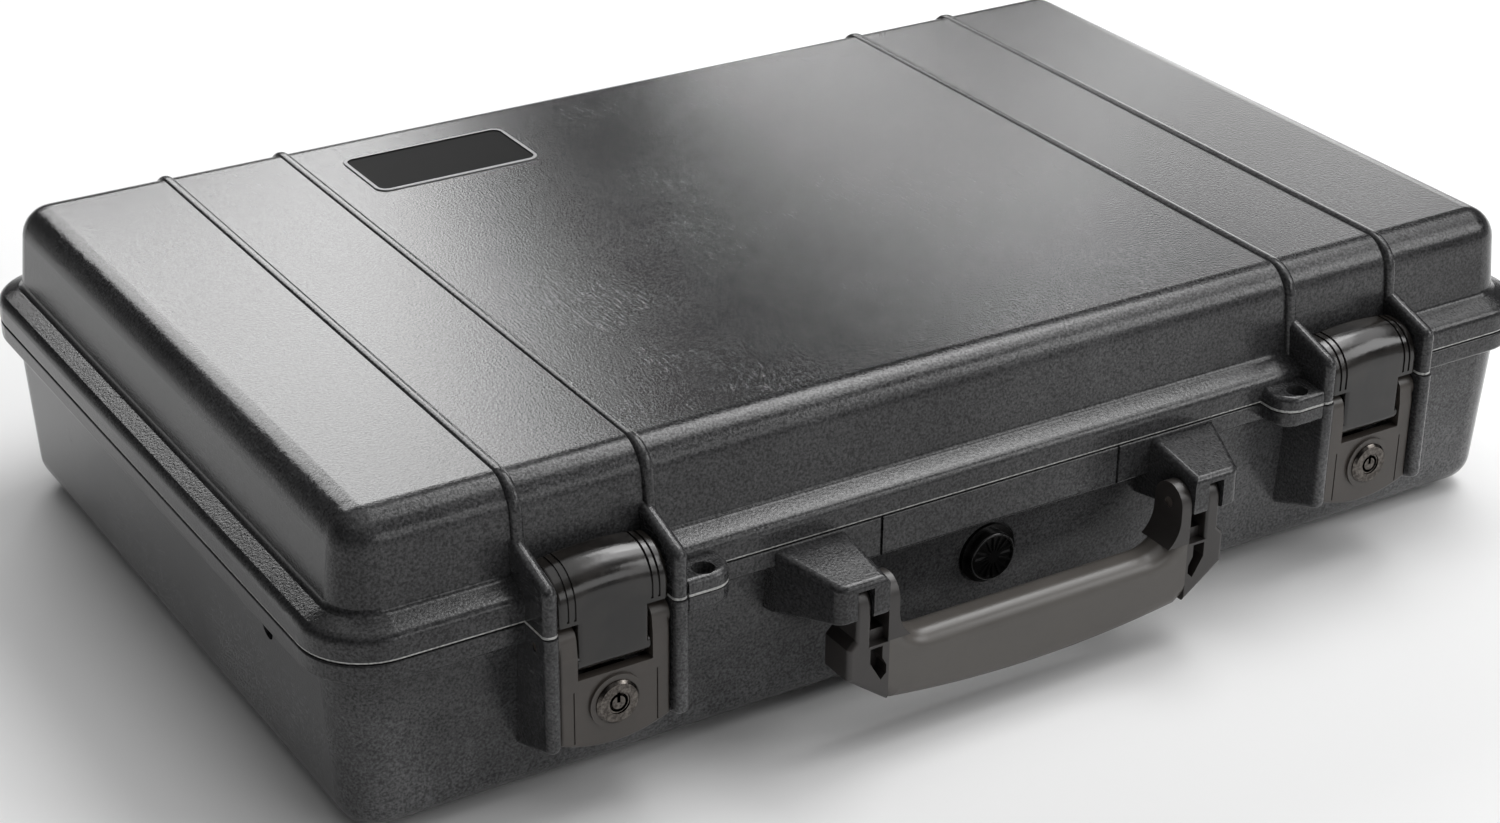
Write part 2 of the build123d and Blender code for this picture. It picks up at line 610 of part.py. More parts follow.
def claw():
    """The hook that pulls the lid down: its head, two grooves down each side, and a tongue to its pin."""
    face = CLAW_FACE_PROUD
    tongue_low = LATCH_X - TONGUE_HALF
    tongue_high = LATCH_X + TONGUE_HALF
    eye_r = face - CLAW_PIVOT_PROUD
    back = CLAW_PIVOT_PROUD - eye_r
    head = claw_head()
    top_groove = head - Pos(0, CLAW_GROOVE, -CLAW_GROOVE) * head
    flank = [edge for edge in head.edges() if is_claw_flank(edge)]
    head = fillet(flank, CLAW_EDGE_R)
    tongue = proud_box(tongue_low, tongue_high, back, face, CLAW_PIVOT_Z, CLAW_SHOULDER_Z + CLAW_EDGE_R)
    front = [edge for edge in tongue.edges().filter_by(Axis.Z) if edge.center().Y < y_of(back + 1)]
    tongue = fillet(front, CLAW_EDGE_R)
    pivot_y = y_of(CLAW_PIVOT_PROUD)
    body = head + tongue + x_rod(eye_r, tongue_low, tongue_high, pivot_y, CLAW_PIVOT_Z)
    half = CLAW_GROOVE_WIDTH / 2
    for offset in CLAW_GROOVE_OFFSETS:
        for x in (LATCH_X - offset, LATCH_X + offset):
            low_z = CLAW_GROOVE_END_Z
            track = proud_box(x - half, x + half, CLAW_BACK_PROUD, face + 1, low_z, CLAW_TOP_Z + 1)
            body = body - (top_groove & track)
    bore = x_rod(LATCH_PIN_R + PIN_RUNNING_FIT, tongue_low - 1, tongue_high + 1, pivot_y, CLAW_PIVOT_Z)
    return body - bore


def is_claw_flank(edge):
    """Whether an edge runs down the outer side of the claw's head, from its front over its crown."""
    spot = edge @ 0.5
    at_side = abs(abs(spot.X - LATCH_X) - LATCH_WIDTH / 2) < 0.01
    above_ledge = spot.Z > ledge_z(CLAW_BACK_PROUD) + CLAW_LEDGE_FIT + 0.2
    return at_side and (above_ledge or abs(spot.Y - y_of(CLAW_FACE_PROUD)) < 0.01)


def lever():
    """The lever: two arms up to the pivot, and the plate that carries the lock and the finger edge."""
    low = LATCH_X - LATCH_WIDTH / 2
    high = LATCH_X + LATCH_WIDTH / 2
    pivot_y = y_of(LEVER_PIVOT_PROUD)
    back = LEVER_FACE_PROUD - LEVER_PLATE
    eye_front = LEVER_PIVOT_PROUD + LEVER_EYE_R
    eye_back = LEVER_PIVOT_PROUD - LEVER_EYE_R
    arm = [(eye_back, LEVER_PIVOT_Z), (eye_front, LEVER_PIVOT_Z)]
    arm += [(LEVER_FACE_PROUD, LEVER_PIVOT_Z - LEVER_EYE_R)]
    arm += [(LEVER_FACE_PROUD, LEVER_SIDE_BOTTOM_Z), (back, LEVER_SIDE_BOTTOM_Z)]
    arm += [(eye_back + ARM_TAPER, LEVER_PLATE_TOP_Z - LEVER_EYE_R)]
    arm += [(eye_back, LEVER_PLATE_TOP_Z + LEVER_EYE_R)]
    body = []
    for x_low, x_high in ((low, low + ARM_THICKNESS), (high - ARM_THICKNESS, high)):
        body.append(side_plate(arm, x_low, x_high))
        body.append(x_rod(LEVER_EYE_R, x_low, x_high, pivot_y, LEVER_PIVOT_Z))
    plate_outline = [
        Line((low, LEVER_SIDE_BOTTOM_Z), (low, LEVER_PLATE_TOP_Z)),
        Line((low, LEVER_PLATE_TOP_Z), (high, LEVER_PLATE_TOP_Z)),
        Line((high, LEVER_PLATE_TOP_Z), (high, LEVER_SIDE_BOTTOM_Z)),
        ThreePointArc((high, LEVER_SIDE_BOTTOM_Z), (LATCH_X, LEVER_BOTTOM_Z), (low, LEVER_SIDE_BOTTOM_Z)),
    ]
    plane = Plane((0, y_of(back), 0), x_dir=(1, 0, 0), z_dir=(0, -1, 0))
    plate = extrude(plane * make_face(plate_outline), LEVER_PLATE)
    body = plate + body
    front = [edge for edge in body.edges() if is_lever_rim(edge, low, high)]
    body = fillet(front, LEVER_EDGE_R)
    body = body + y_rod(LOCK_BOSS_R, LATCH_X, LOCK_Z, back, LEVER_FACE_PROUD + LOCK_BOSS_RISE)
    body = body - y_rod(LOCK_BARREL_R + PIN_SEAT_FIT, LATCH_X, LOCK_Z, back - 1, LEVER_FACE_PROUD + 5)
    line_front = LEVER_FACE_PROUD - PANEL_LINE
    for x in (LATCH_X - PANEL_LINE_OFFSET, LATCH_X + PANEL_LINE_OFFSET):
        half = PANEL_LINE / 2
        top_z = LEVER_PLATE_TOP_Z - PANEL_LINE_MARGIN
        low_z = LEVER_SIDE_BOTTOM_Z - PANEL_LINE
        body = body - proud_box(x - half, x + half, line_front, LEVER_FACE_PROUD + 1, low_z, top_z)
    radius = LATCH_PIN_R + PIN_SEAT_FIT
    body = body - x_rod(radius, low - 1, high + 1, pivot_y, LEVER_PIVOT_Z)
    claw_pin_y = y_of(CLAW_PIVOT_PROUD)
    return body - x_rod(radius, low + PIN_CAP, high - PIN_CAP, claw_pin_y, CLAW_PIVOT_Z)


def is_lever_rim(edge, low, high):
    """Whether an edge runs round the outside of the lever's front face."""
    spot = edge @ 0.5
    at_side = min(abs(spot.X - low), abs(spot.X - high)) < 0.01
    at_front = spot.Y < y_of(LEVER_FACE_PROUD - LEVER_EDGE_R)
    at_bottom = spot.Z < LEVER_SIDE_BOTTOM_Z and abs(spot.Y - y_of(LEVER_FACE_PROUD)) < 0.01
    return at_bottom or (at_side and at_front and abs((edge % 0.5).Z) > 0.5)


def lever_pins():
    """Two stub pins, from the ribs into the lever's arms, so that the claw can pass between them."""
    y = y_of(LEVER_PIVOT_PROUD)
    rib_low = LATCH_X - RIB_OFFSET - RIB_THICKNESS / 2 + 1 + PIN_CAP
    rib_high = LATCH_X + RIB_OFFSET + RIB_THICKNESS / 2 - PIN_CAP
    arm_low = LATCH_X - LATCH_WIDTH / 2 + ARM_THICKNESS
    arm_high = LATCH_X + LATCH_WIDTH / 2 - ARM_THICKNESS
    inner = x_rod(LATCH_PIN_R, rib_low, arm_low, y, LEVER_PIVOT_Z)
    outer = x_rod(LATCH_PIN_R, arm_high, rib_high, y, LEVER_PIVOT_Z)
    return Compound([inner, outer])


def claw_pin():
    """The pin that joins the claw to the lever's arms."""
    low = LATCH_X - LATCH_WIDTH / 2 + PIN_CAP
    high = LATCH_X + LATCH_WIDTH / 2 - PIN_CAP
    return x_rod(LATCH_PIN_R, low, high, y_of(CLAW_PIVOT_PROUD), CLAW_PIVOT_Z)


# Locks


def lock_barrel():
    """The lock's fixed barrel: a coned bezel in front and a bored sleeve through the lever."""
    seat = LEVER_FACE_PROUD + LOCK_BOSS_RISE
    bezel = y_rod(LOCK_BEZEL_R, LATCH_X, LOCK_Z, seat, seat + LOCK_BEZEL_RISE)
    rim = bezel.faces().sort_by(Axis.Y)[0].edges()
    bezel = chamfer(rim, LOCK_BEZEL_CHAMFER)
    sleeve = y_rod(LOCK_BARREL_R, LATCH_X, LOCK_Z, LOCK_BACK_PROUD, seat)
    bore = y_rod(LOCK_PLUG_R + LOCK_FIT, LATCH_X, LOCK_Z, LOCK_BACK_PROUD - 1, seat + 5)
    return bezel + sleeve - bore


def lock_plug():
    """The turning plug with its round key channel, centre post and index notch."""
    face = LEVER_FACE_PROUD + LOCK_BOSS_RISE + LOCK_BEZEL_RISE - PLUG_SINK
    back = LOCK_BACK_PROUD - CAM_FIT
    plug = y_rod(LOCK_PLUG_R, LATCH_X, LOCK_Z, back, face)
    channel = y_rod(KEY_RING_R, LATCH_X, LOCK_Z, face - KEY_DEPTH, face + 1)
    channel = channel - y_rod(KEY_POST_R, LATCH_X, LOCK_Z, face - KEY_DEPTH - 1, face + 2)
    half = KEY_NOTCH / 2
    notch_z = LOCK_Z + LOCK_PLUG_R
    notch = proud_box(LATCH_X - half, LATCH_X + half, face - KEY_DEPTH, face + 1, LOCK_Z, notch_z)
    return plug - channel - notch


def lock_cam():
    """The cam on the plug's back end; unlocked, it points along the lever."""
    front = LOCK_BACK_PROUD - CAM_FIT
    back = front - CAM_THICKNESS
    half = CAM_WIDTH / 2
    reach = CAM_REACH - half
    arm = proud_box(LATCH_X, LATCH_X + reach, back, front, LOCK_Z - half, LOCK_Z + half)
    hub = y_rod(half + CAM_HUB_MARGIN, LATCH_X, LOCK_Z, back, front)
    return hub + arm + y_rod(half, LATCH_X + reach, LOCK_Z, back, front)


def lock_nut():
    """The hexagonal nut that clamps the barrel against the lever's plate."""
    front = LEVER_FACE_PROUD - LEVER_PLATE
    plane = Plane((LATCH_X, y_of(front), LOCK_Z), x_dir=(1, 0, 0), z_dir=(0, 1, 0))
    hexagon = extrude(plane * RegularPolygon(LOCK_NUT_R, 6), LOCK_NUT_THICKNESS)
    return hexagon - y_rod(LOCK_BARREL_R + PIN_SEAT_FIT, LATCH_X, LOCK_Z, front - 10, front + 1)


# Handle


def handle_block():
    """The handle's whole form before it is split into frame and grip."""
    shoulder = HANDLE_SHOULDER_Z
    cheek_x = BOSS_INNER_X + INNER_LEG + HANDLE_SIDE_FIT + OUTER_CHEEK
    inner_x = BOSS_INNER_X - HANDLE_SIDE_FIT - INNER_CHEEK
    top_z = HANDLE_PIVOT_Z + HANDLE_HALF_THICKNESS
    grip_z = HANDLE_BOTTOM_Z + GRIP_HEIGHT
    step_z = HANDLE_PIVOT_Z - HANDLE_STEP_DROP
    r = HANDLE_INNER_R
    bend = r * (1 - 2**-0.5)
    half = [
        Line((cheek_x, top_z), (cheek_x, step_z)),
        Line((cheek_x, step_z), (HANDLE_OUTER_X, step_z - HANDLE_OUTER_X + cheek_x)),
        Line((HANDLE_OUTER_X, step_z - HANDLE_OUTER_X + cheek_x), (HANDLE_OUTER_X, shoulder)),
        Line((HANDLE_OUTER_X, shoulder), (HANDLE_HEEL_X, HANDLE_HEEL_Z)),
        Line((cheek_x, top_z), (inner_x, top_z)),
        Line((inner_x, top_z), (inner_x, grip_z + r)),
        ThreePointArc((inner_x, grip_z + r), (inner_x - bend, grip_z + bend), (inner_x - r, grip_z)),
    ]
    lines = half + [mirror(line, Plane.YZ) for line in half]
    lines.append(Line((inner_x - r, grip_z), (r - inner_x, grip_z)))
    heel = (HANDLE_HEEL_X, HANDLE_HEEL_Z)
    lines.append(ThreePointArc(heel, (0, HANDLE_BOTTOM_Z), (-HANDLE_HEEL_X, HANDLE_HEEL_Z)))
    pivot_y = y_of(HANDLE_PIVOT_PROUD)
    plane = Plane((0, pivot_y + HANDLE_HALF_THICKNESS, 0), x_dir=(1, 0, 0), z_dir=(0, -1, 0))
    block = extrude(plane * make_face(lines), 2 * HANDLE_HALF_THICKNESS)
    reach = HANDLE_OUTER_X + 1
    round_top = x_rod(HANDLE_HALF_THICKNESS, -reach, reach, pivot_y, HANDLE_PIVOT_Z)
    below = box(
        -reach, reach, pivot_y - HANDLE_HALF_THICKNESS, pivot_y + HANDLE_HALF_THICKNESS, 0, HANDLE_PIVOT_Z
    )
    return block & (round_top + below)


def grip_region():
    """The stretch of the handle that the grip covers."""
    reach = HANDLE_HALF_THICKNESS + 1
    return proud_box(
        -GRIP_END_X, GRIP_END_X, HANDLE_PIVOT_PROUD - reach, HANDLE_PIVOT_PROUD + reach, 0, GRIP_TOP_Z
    )


def handle_core(grow):
    """The bar of the frame that runs through the grip."""
    half = HANDLE_HALF_THICKNESS - CORE_MARGIN + grow
    low_z = HANDLE_HEEL_Z + CORE_MARGIN - grow
    high_z = HANDLE_BOTTOM_Z + GRIP_HEIGHT - CORE_MARGIN + grow
    pivot = HANDLE_PIVOT_PROUD
    return proud_box(-GRIP_END_X, GRIP_END_X, pivot - half, pivot + half, low_z, high_z)


def handle_grip():
    """The soft sleeve moulded round the middle of the handle."""
    grip = handle_block() & grip_region()
    pivot_y = y_of(HANDLE_PIVOT_PROUD)
    long_edges = []
    for edge in grip.edges():
        spot = edge @ 0.5
        at_face = abs(abs(spot.Y - pivot_y) - HANDLE_HALF_THICKNESS) < 0.01
        at_end = abs(abs(spot.X) - GRIP_END_X) < 0.01 or abs(spot.Z - GRIP_TOP_Z) < 0.01
        if at_face and not at_end:
            long_edges.append(edge)
    return fillet(long_edges, GRIP_EDGE_R) - handle_core(0)


def handle_frame():
    """The forked ends and the core bar, in one moulding."""
    block = handle_block()
    pivot_y = y_of(HANDLE_PIVOT_PROUD)
    pivot = HANDLE_PIVOT_PROUD
    reach = HANDLE_HALF_THICKNESS + 1
    rims = []
    for edge in block.edges():
        spot = edge @ 0.5
        at_face = abs(abs(spot.Y - pivot_y) - HANDLE_HALF_THICKNESS) < 0.01
        if at_face and abs(spot.X) > HANDLE_HEEL_X and spot.Z < HANDLE_PIVOT_Z - HANDLE_STEP_DROP - 1:
            rims.append(edge)
    block = fillet(rims, FRAME_EDGE_R)
    frame = block - grip_region() + handle_core(0)
    fork_low = BOSS_INNER_X - HANDLE_SIDE_FIT
    fork_high = BOSS_INNER_X + INNER_LEG + HANDLE_SIDE_FIT
    bar_top = HANDLE_PIVOT_Z - CROSSBAR_RISE
    bar_low = bar_top - CROSSBAR_HEIGHT
    top = HANDLE_PIVOT_Z + HANDLE_HALF_THICKNESS + 1
    cuts = both_sides(proud_box(fork_low, fork_high, pivot - reach, pivot + reach, bar_top, top))
    for side in (-1, 1):
        near = pivot + side * CROSSBAR_HALF
        far = pivot + side * reach
        cuts += both_sides(proud_box(fork_low, fork_high, min(near, far), max(near, far), bar_low, top))
        end = GRIP_END_X + 1
        floor_z = HANDLE_HEEL_Z + POCKET_FLOOR
        pocket = [(fork_low + POCKET_STEP, bar_low - 1), (fork_high, bar_low - 1)]
        pocket += [(fork_high, HANDLE_SHOULDER_Z + POCKET_SLOPE), (end + POCKET_STEP, floor_z)]
        pocket += [(end, floor_z + POCKET_STEP), (end, HANDLE_SHOULDER_Z + POCKET_STEP)]
        pocket += [(fork_low + POCKET_STEP, HANDLE_SHOULDER_Z + POCKET_SLOPE + 1)]
        y = y_of(pivot + side * POCKET_WEB)
        plane = Plane((0, y, 0), x_dir=(1, 0, 0), z_dir=(0, -1, 0))
        face = plane * make_face(Polyline(*pocket, close=True))
        cuts += both_sides(extrude(face, side * reach))
    radius = HANDLE_PIN_R + PIN_RUNNING_FIT
    bore = x_rod(radius, fork_low - INNER_CHEEK - 1, HANDLE_OUTER_X, pivot_y, HANDLE_PIVOT_Z)
    frame = frame - cuts
    sides = (fork_high, fork_high + OUTER_CHEEK)
    leg_edges = []
    for edge in frame.edges():
        spot = edge @ 0.5
        on_leg = any(abs(abs(spot.X) - x) < 0.01 for x in sides) and spot.Z > bar_top + 0.1
        at_rim = spot.Z > HANDLE_PIVOT_Z or abs(abs(spot.Y - pivot_y) - HANDLE_HALF_THICKNESS) < 0.01
        if on_leg and at_rim:
            leg_edges.append(edge)
    frame = fillet(leg_edges, LEG_EDGE_R)
    return frame - both_sides(bore)


def handle_pins():
    """The two steel pins that the handle swings on."""
    low = BOSS_INNER_X - HANDLE_SIDE_FIT - INNER_CHEEK + PIN_CAP
    high = BOSS_INNER_X + INNER_LEG + OUTER_CHEEK + 2 * HANDLE_SIDE_FIT + HANDLE_PIN_BITE - PIN_CAP
    pin = x_rod(HANDLE_PIN_R, low, high, y_of(HANDLE_PIVOT_PROUD), HANDLE_PIVOT_Z)
    return Compound(both_sides(pin))


# Pressure vent


def vent_ring(outer, inner, proud_low, proud_high):
    """A ring about the vent's axis."""
    hole = y_rod(inner, 0, VENT_Z, proud_low - 1, proud_high + 1)
    return y_rod(outer, 0, VENT_Z, proud_low, proud_high) - hole


def vent_body():
    """The vent's flange and stem, with a seat for the membrane in front and a seal groove behind."""
    seat = VENT_RECESS_PROUD
    front = seat + VENT_FLANGE
    body = y_rod(VENT_FLANGE_R, 0, VENT_Z, seat, front)
    body = body + y_rod(VENT_STEM_R, 0, VENT_Z, seat - VENT_STEM, seat)
    body = body - y_rod(VENT_BORE_R, 0, VENT_Z, seat - VENT_STEM - 1, front + 1)
    body = body - y_rod(MEMBRANE_R + PIN_SEAT_FIT, 0, VENT_Z, front - MEMBRANE, front + 1)
    return body - vent_ring(GASKET_OUTER_R, GASKET_INNER_R, seat - 1, seat + GASKET)


def vent_cap():
    """The slotted cap over the membrane, with plain radial bars on its face."""
    low = VENT_RECESS_PROUD + VENT_FLANGE
    high = low + VENT_CAP
    cap = y_rod(VENT_CAP_R, 0, VENT_Z, low, high)
    cap = fillet(cap.faces().sort_by(Axis.Y)[0].edges(), CAP_EDGE_R)
    cap = cap - y_rod(VENT_CAP_R - CAP_WALL, 0, VENT_Z, low - 1, high - CAP_WALL)
    cap = cap - vent_ring(VENT_CAP_R - CAP_WALL, CAP_HUB_R, high - CAP_BAR, high + 1)
    for number in range(CAP_BARS):
        turn = Pos(0, 0, VENT_Z) * Rot(0, number * 360 / CAP_BARS, 0) * Pos(0, 0, -VENT_Z)
        bar = proud_box(
            -CAP_BAR / 2, CAP_BAR / 2, high - CAP_BAR - CAP_WALL / 2, high, VENT_Z + CAP_HUB_R - CAP_BAR,
            VENT_Z + VENT_CAP_R - CAP_WALL / 2,
        )
        cap = cap + turn * bar
    for number in range(CAP_SLOTS):
        turn = Pos(0, 0, VENT_Z) * Rot(0, (number + 0.5) * 360 / CAP_SLOTS, 0) * Pos(0, 0, -VENT_Z)
        slot = proud_box(-CAP_SLOT / 2, CAP_SLOT / 2, low - 1, low + CAP_BAR, VENT_Z, VENT_Z + VENT_CAP_R + 1)
        cap = cap - turn * slot
    return cap


def vent_membrane():
    """The disc that passes air but not water."""
    front = VENT_RECESS_PROUD + VENT_FLANGE
    return y_rod(MEMBRANE_R, 0, VENT_Z, front - MEMBRANE, front)


def vent_gasket():
    """The flat seal under the vent's flange."""
    seat = VENT_RECESS_PROUD
    return vent_ring(GASKET_OUTER_R - PIN_SEAT_FIT, GASKET_INNER_R + PIN_SEAT_FIT, seat, seat + GASKET)


def vent_nut():
    """The hexagonal nut that holds the vent from inside."""
    front = wall_proud(VENT_Z) - WALL - VENT_PAD
    plane = Plane((0, y_of(front), VENT_Z), x_dir=(1, 0, 0), z_dir=(0, 1, 0))
    hexagon = extrude(plane * RegularPolygon(VENT_NUT_R, 6), VENT_NUT)
    return hexagon - y_rod(VENT_STEM_R + PIN_SEAT_FIT, 0, VENT_Z, front - VENT_NUT - 1, front + 1)


# Seal, hinge pins and label


def seal_ring():
    """The round-cornered rubber cord in the lid's groove, just above the base's tongue."""
    half = SEAL_GROOVE_WIDTH / 2 - SEAL_FIT
    low_z = BASE_TOP_Z + TONGUE_RISE + SEAL_FIT
    high_z = LID_BOTTOM_Z + SEAL_GROOVE_DEPTH
    ring = band(SEAL_INSET - half, low_z, high_z) - band(SEAL_INSET + half, low_z - 1, high_z + 1)
    return fillet(ring.faces().sort_by(Axis.Z)[0].edges(), SEAL_EDGE_R)


def hinge_pin():
    """One steel hinge pin."""
    half = KNUCKLE_COUNT * (KNUCKLE_LENGTH + KNUCKLE_SIDE_FIT) / 2 - PIN_CAP
    return x_rod(HINGE_PIN_R, HINGE_X - half, HINGE_X + half, HINGE_Y, PART_Z)


def label_plate():
    """The bare plate in the lid's recess, with a raised border."""
    length = LABEL_LENGTH - 2 * LABEL_FIT
    width = LABEL_WIDTH - 2 * LABEL_FIT
    plate = extrude(RectangleRounded(length, width, LABEL_R - LABEL_FIT), LABEL_THICKNESS)
    plate = fillet(plate.faces().sort_by(Axis.Z)[-1].edges(), LABEL_FIT * 2)
    field = RectangleRounded(length - 2 * LABEL_BORDER, width - 2 * LABEL_BORDER, LABEL_R - LABEL_BORDER)
    plate = plate - extrude(Pos(0, 0, LABEL_THICKNESS - LABEL_SINK) * field, LABEL_SINK)
    return label_place() * Pos(0, 0, -LABEL_RECESS) * plate


# Foam


def base_foam_pad():
    """The soft layer on the floor of the base."""
    inset = BASE_RIM_STEP + BASE_DRAFT + WALL + FOAM_FIT
    low_z = FOOT_HEIGHT + WALL + FOAM_FIT
    pad = band(inset, low_z, low_z + FOAM_PAD)
    return fillet(pad.faces().sort_by(Axis.Z)[0].edges(), BASE_EDGE_R - WALL)


def foam_wall(x_low, x_high, y_low, y_high):
    """One wall of the upper foam, cut to the base's rounded outline."""
    inset = BASE_RIM_STEP + BASE_DRAFT + WALL + FOAM_FIT
    low_z = FOOT_HEIGHT + WALL + 2 * FOAM_FIT + FOAM_PAD
    high_z = PART_Z - FOAM_TRAY_TOP_GAP
    return band(inset, low_z, high_z) & box(x_low, x_high, y_low, y_high, low_z, high_z)


def foam_front_wall():
    """The wall of foam behind the latches, relieved round the vent's nut."""
    wall = foam_wall(-RIM_LENGTH / 2, RIM_LENGTH / 2, RIM_FRONT_Y, RIM_CENTRE_Y - POCKET_DEPTH / 2)
    half = VENT_NUT_R + VENT_RELIEF
    deep = VENT_RECESS_PROUD - VENT_STEM - VENT_RELIEF / 2
    return wall - proud_box(-half, half, deep, 0, 0, VENT_Z + half)


def foam_back_wall():
    """The wall of foam along the hinges."""
    return foam_wall(-RIM_LENGTH / 2, RIM_LENGTH / 2, RIM_CENTRE_Y + POCKET_DEPTH / 2, RIM_BACK_Y)


def foam_end_wall():
    """The wall of foam at one end of the laptop's pocket."""
    half_depth = POCKET_DEPTH / 2
    return foam_wall(POCKET_LENGTH / 2, RIM_LENGTH / 2, RIM_CENTRE_Y - half_depth, RIM_CENTRE_Y + half_depth)


def lid_foam():
    """The foam in the lid, as a plain pad inside the space that its cut peaks fill."""
    inset = LEDGE_WIDTH + LID_DRAFT + WALL + FOAM_FIT
    low_z = PART_Z + LID_FOAM_CLEAR
    high_z = LID_TOP_Z - WALL - FOAM_FIT
    pad = band(inset, low_z, high_z)
    radius = min(FOAM_EDGE_R, (high_z - low_z) / 2)
    return fillet(pad.faces().sort_by(Axis.Z)[-1].edges(), radius)


PAIRS = {
    "latch_claw": claw(),
    "latch_lever": lever(),
    "lever_pins": lever_pins(),
    "claw_pin": claw_pin(),
    "lock_barrel": lock_barrel(),
    "lock_nut": lock_nut(),
    "hinge_pin": hinge_pin(),
    "lid_padlock_tab": padlock_tab(LID_BOTTOM_Z, LID_TAB_TOP_Z),
    "base_padlock_tab": padlock_tab(BASE_TAB_BOTTOM_Z, BASE_TOP_Z),
    "foam_end_wall": foam_end_wall(),
}
LOCK_PARTS = {
    "lock_plug": lock_plug(),
    "lock_cam": lock_cam(),
}
NODES = {
    "base_shell": base_shell(),
    "lid_shell": lid_shell(),
    "seal_ring": seal_ring(),
    "label_plate": label_plate(),
    "handle_frame": handle_frame(),
    "handle_grip": handle_grip(),
    "handle_pins": handle_pins(),
    "vent_body": vent_body(),
    "vent_cap": vent_cap(),
    "vent_membrane": vent_membrane(),
    "vent_gasket": vent_gasket(),
    "vent_nut": vent_nut(),
    "base_foam_pad": base_foam_pad(),
    "foam_front_wall": foam_front_wall(),
    "foam_back_wall": foam_back_wall(),
    "lid_foam": lid_foam(),
}
for name, shape in PAIRS.items():
    NODES["right_" + name] = shape
    NODES["left_" + name] = mirror(shape, Plane.YZ)
for name, shape in LOCK_PARTS.items():
    NODES["right_" + name] = shape
    NODES["left_" + name] = Pos(-2 * LATCH_X, 0, 0) * shape

os.makedirs("parts", exist_ok=True)
for name, shape in NODES.items():
    export_step(shape, f"parts/{name}.step")
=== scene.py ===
import math
import bmesh
import bpy
from mathutils import Matrix, Vector, noise


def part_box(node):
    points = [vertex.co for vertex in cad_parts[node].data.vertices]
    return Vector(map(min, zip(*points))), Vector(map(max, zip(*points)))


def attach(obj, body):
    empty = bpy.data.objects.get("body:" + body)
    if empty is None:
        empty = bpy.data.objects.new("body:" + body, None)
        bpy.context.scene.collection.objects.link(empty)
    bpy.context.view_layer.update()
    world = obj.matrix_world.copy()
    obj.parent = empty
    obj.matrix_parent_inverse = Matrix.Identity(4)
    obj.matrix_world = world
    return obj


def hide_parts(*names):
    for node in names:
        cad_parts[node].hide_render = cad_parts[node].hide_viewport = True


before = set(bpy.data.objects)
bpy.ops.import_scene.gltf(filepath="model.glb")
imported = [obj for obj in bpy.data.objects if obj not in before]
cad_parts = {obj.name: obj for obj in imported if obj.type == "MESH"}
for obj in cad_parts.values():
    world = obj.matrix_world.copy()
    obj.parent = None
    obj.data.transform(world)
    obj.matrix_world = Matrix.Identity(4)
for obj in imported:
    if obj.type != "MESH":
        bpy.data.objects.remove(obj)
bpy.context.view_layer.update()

# Shells: the lid and the base are injection moulded from charcoal polypropylene filled with fine gas cells.
# The moulds are spark textured, so both come out with a fine sandy grain, and handling scuffs them.
# The drilled padlock tabs are part of the same mouldings.
MILLIMETRE = 0.001
SIDES = ("left", "right")
SHELL_COLOUR = "#212122"
SHELL_WEAR_AND_LIGHT = "#565657"
SHELL_EDGE_HIGHLIGHT = "#b4b4b2"
SHELL_ROUGHNESS = (0.13, 0.2)
GRAIN = 0.95 * MILLIMETRE
GRAIN_DEPTH = 0.15 * MILLIMETRE
PATCH = 111.11 * MILLIMETRE
SCUFF_SPACING = 0.8 * MILLIMETRE
SCUFF_LENGTH = 9 * MILLIMETRE
SCUFF_TURN = (0.5, 0, -0.3)
SWAY_LENGTH = 142.86 * MILLIMETRE
SWAY_WIDTH = 50 * MILLIMETRE
PAINTED_BOUNCE_TOP = 70 * MILLIMETRE
PAINTED_BOUNCE_FOOT = 8 * MILLIMETRE
PARTING_EDGE = (73.6 * MILLIMETRE, 74.7 * MILLIMETRE)


def linear(hex_colour):
    """An sRGB hex colour as the linear RGBA that the shaders take."""
    levels = [int(hex_colour[place : place + 2], 16) / 255 for place in (1, 3, 5)]
    return [v / 12.92 if v <= 0.04045 else ((v + 0.055) / 1.055) ** 2.4 for v in levels] + [1.0]


def result(source):
    """The first working output of a node; an output stays as it is."""
    if isinstance(source, bpy.types.Node):
        return next(output for output in source.outputs if output.enabled)
    return source


def add_node(tree, kind, inputs=None, **settings):
    """Adds one shader node; an input given as a node or an output is linked, and any other is set."""
    node = tree.nodes.new("ShaderNode" + kind)
    for name, value in settings.items():
        setattr(node, name, value)
    for name, value in (inputs or {}).items():
        if isinstance(value, (bpy.types.Node, bpy.types.NodeSocket)):
            tree.links.new(result(value), node.inputs[name])
        else:
            node.inputs[name].default_value = value
    return node


def new_material(name, **constants):
    """A material with a Principled surface, and constants set on it; returns it, its tree and its surface."""
    material = bpy.data.materials.new(name)
    material.use_nodes = True
    tree = material.node_tree
    surface = tree.nodes["Principled BSDF"]
    for socket, value in constants.items():
        surface.inputs[socket.replace("_", " ")].default_value = value
    return material, tree, surface


def dress(surface, **sources):
    """Links nodes to a surface's inputs."""
    for socket, source in sources.items():
        surface.id_data.links.new(result(source), surface.inputs[socket.replace("_", " ")])


def cover(material, *nodes):
    """Gives CAD nodes or pieces one material."""
    for node in nodes:
        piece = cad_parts.get(node, node)
        piece.data.materials.clear()
        piece.data.materials.append(material)
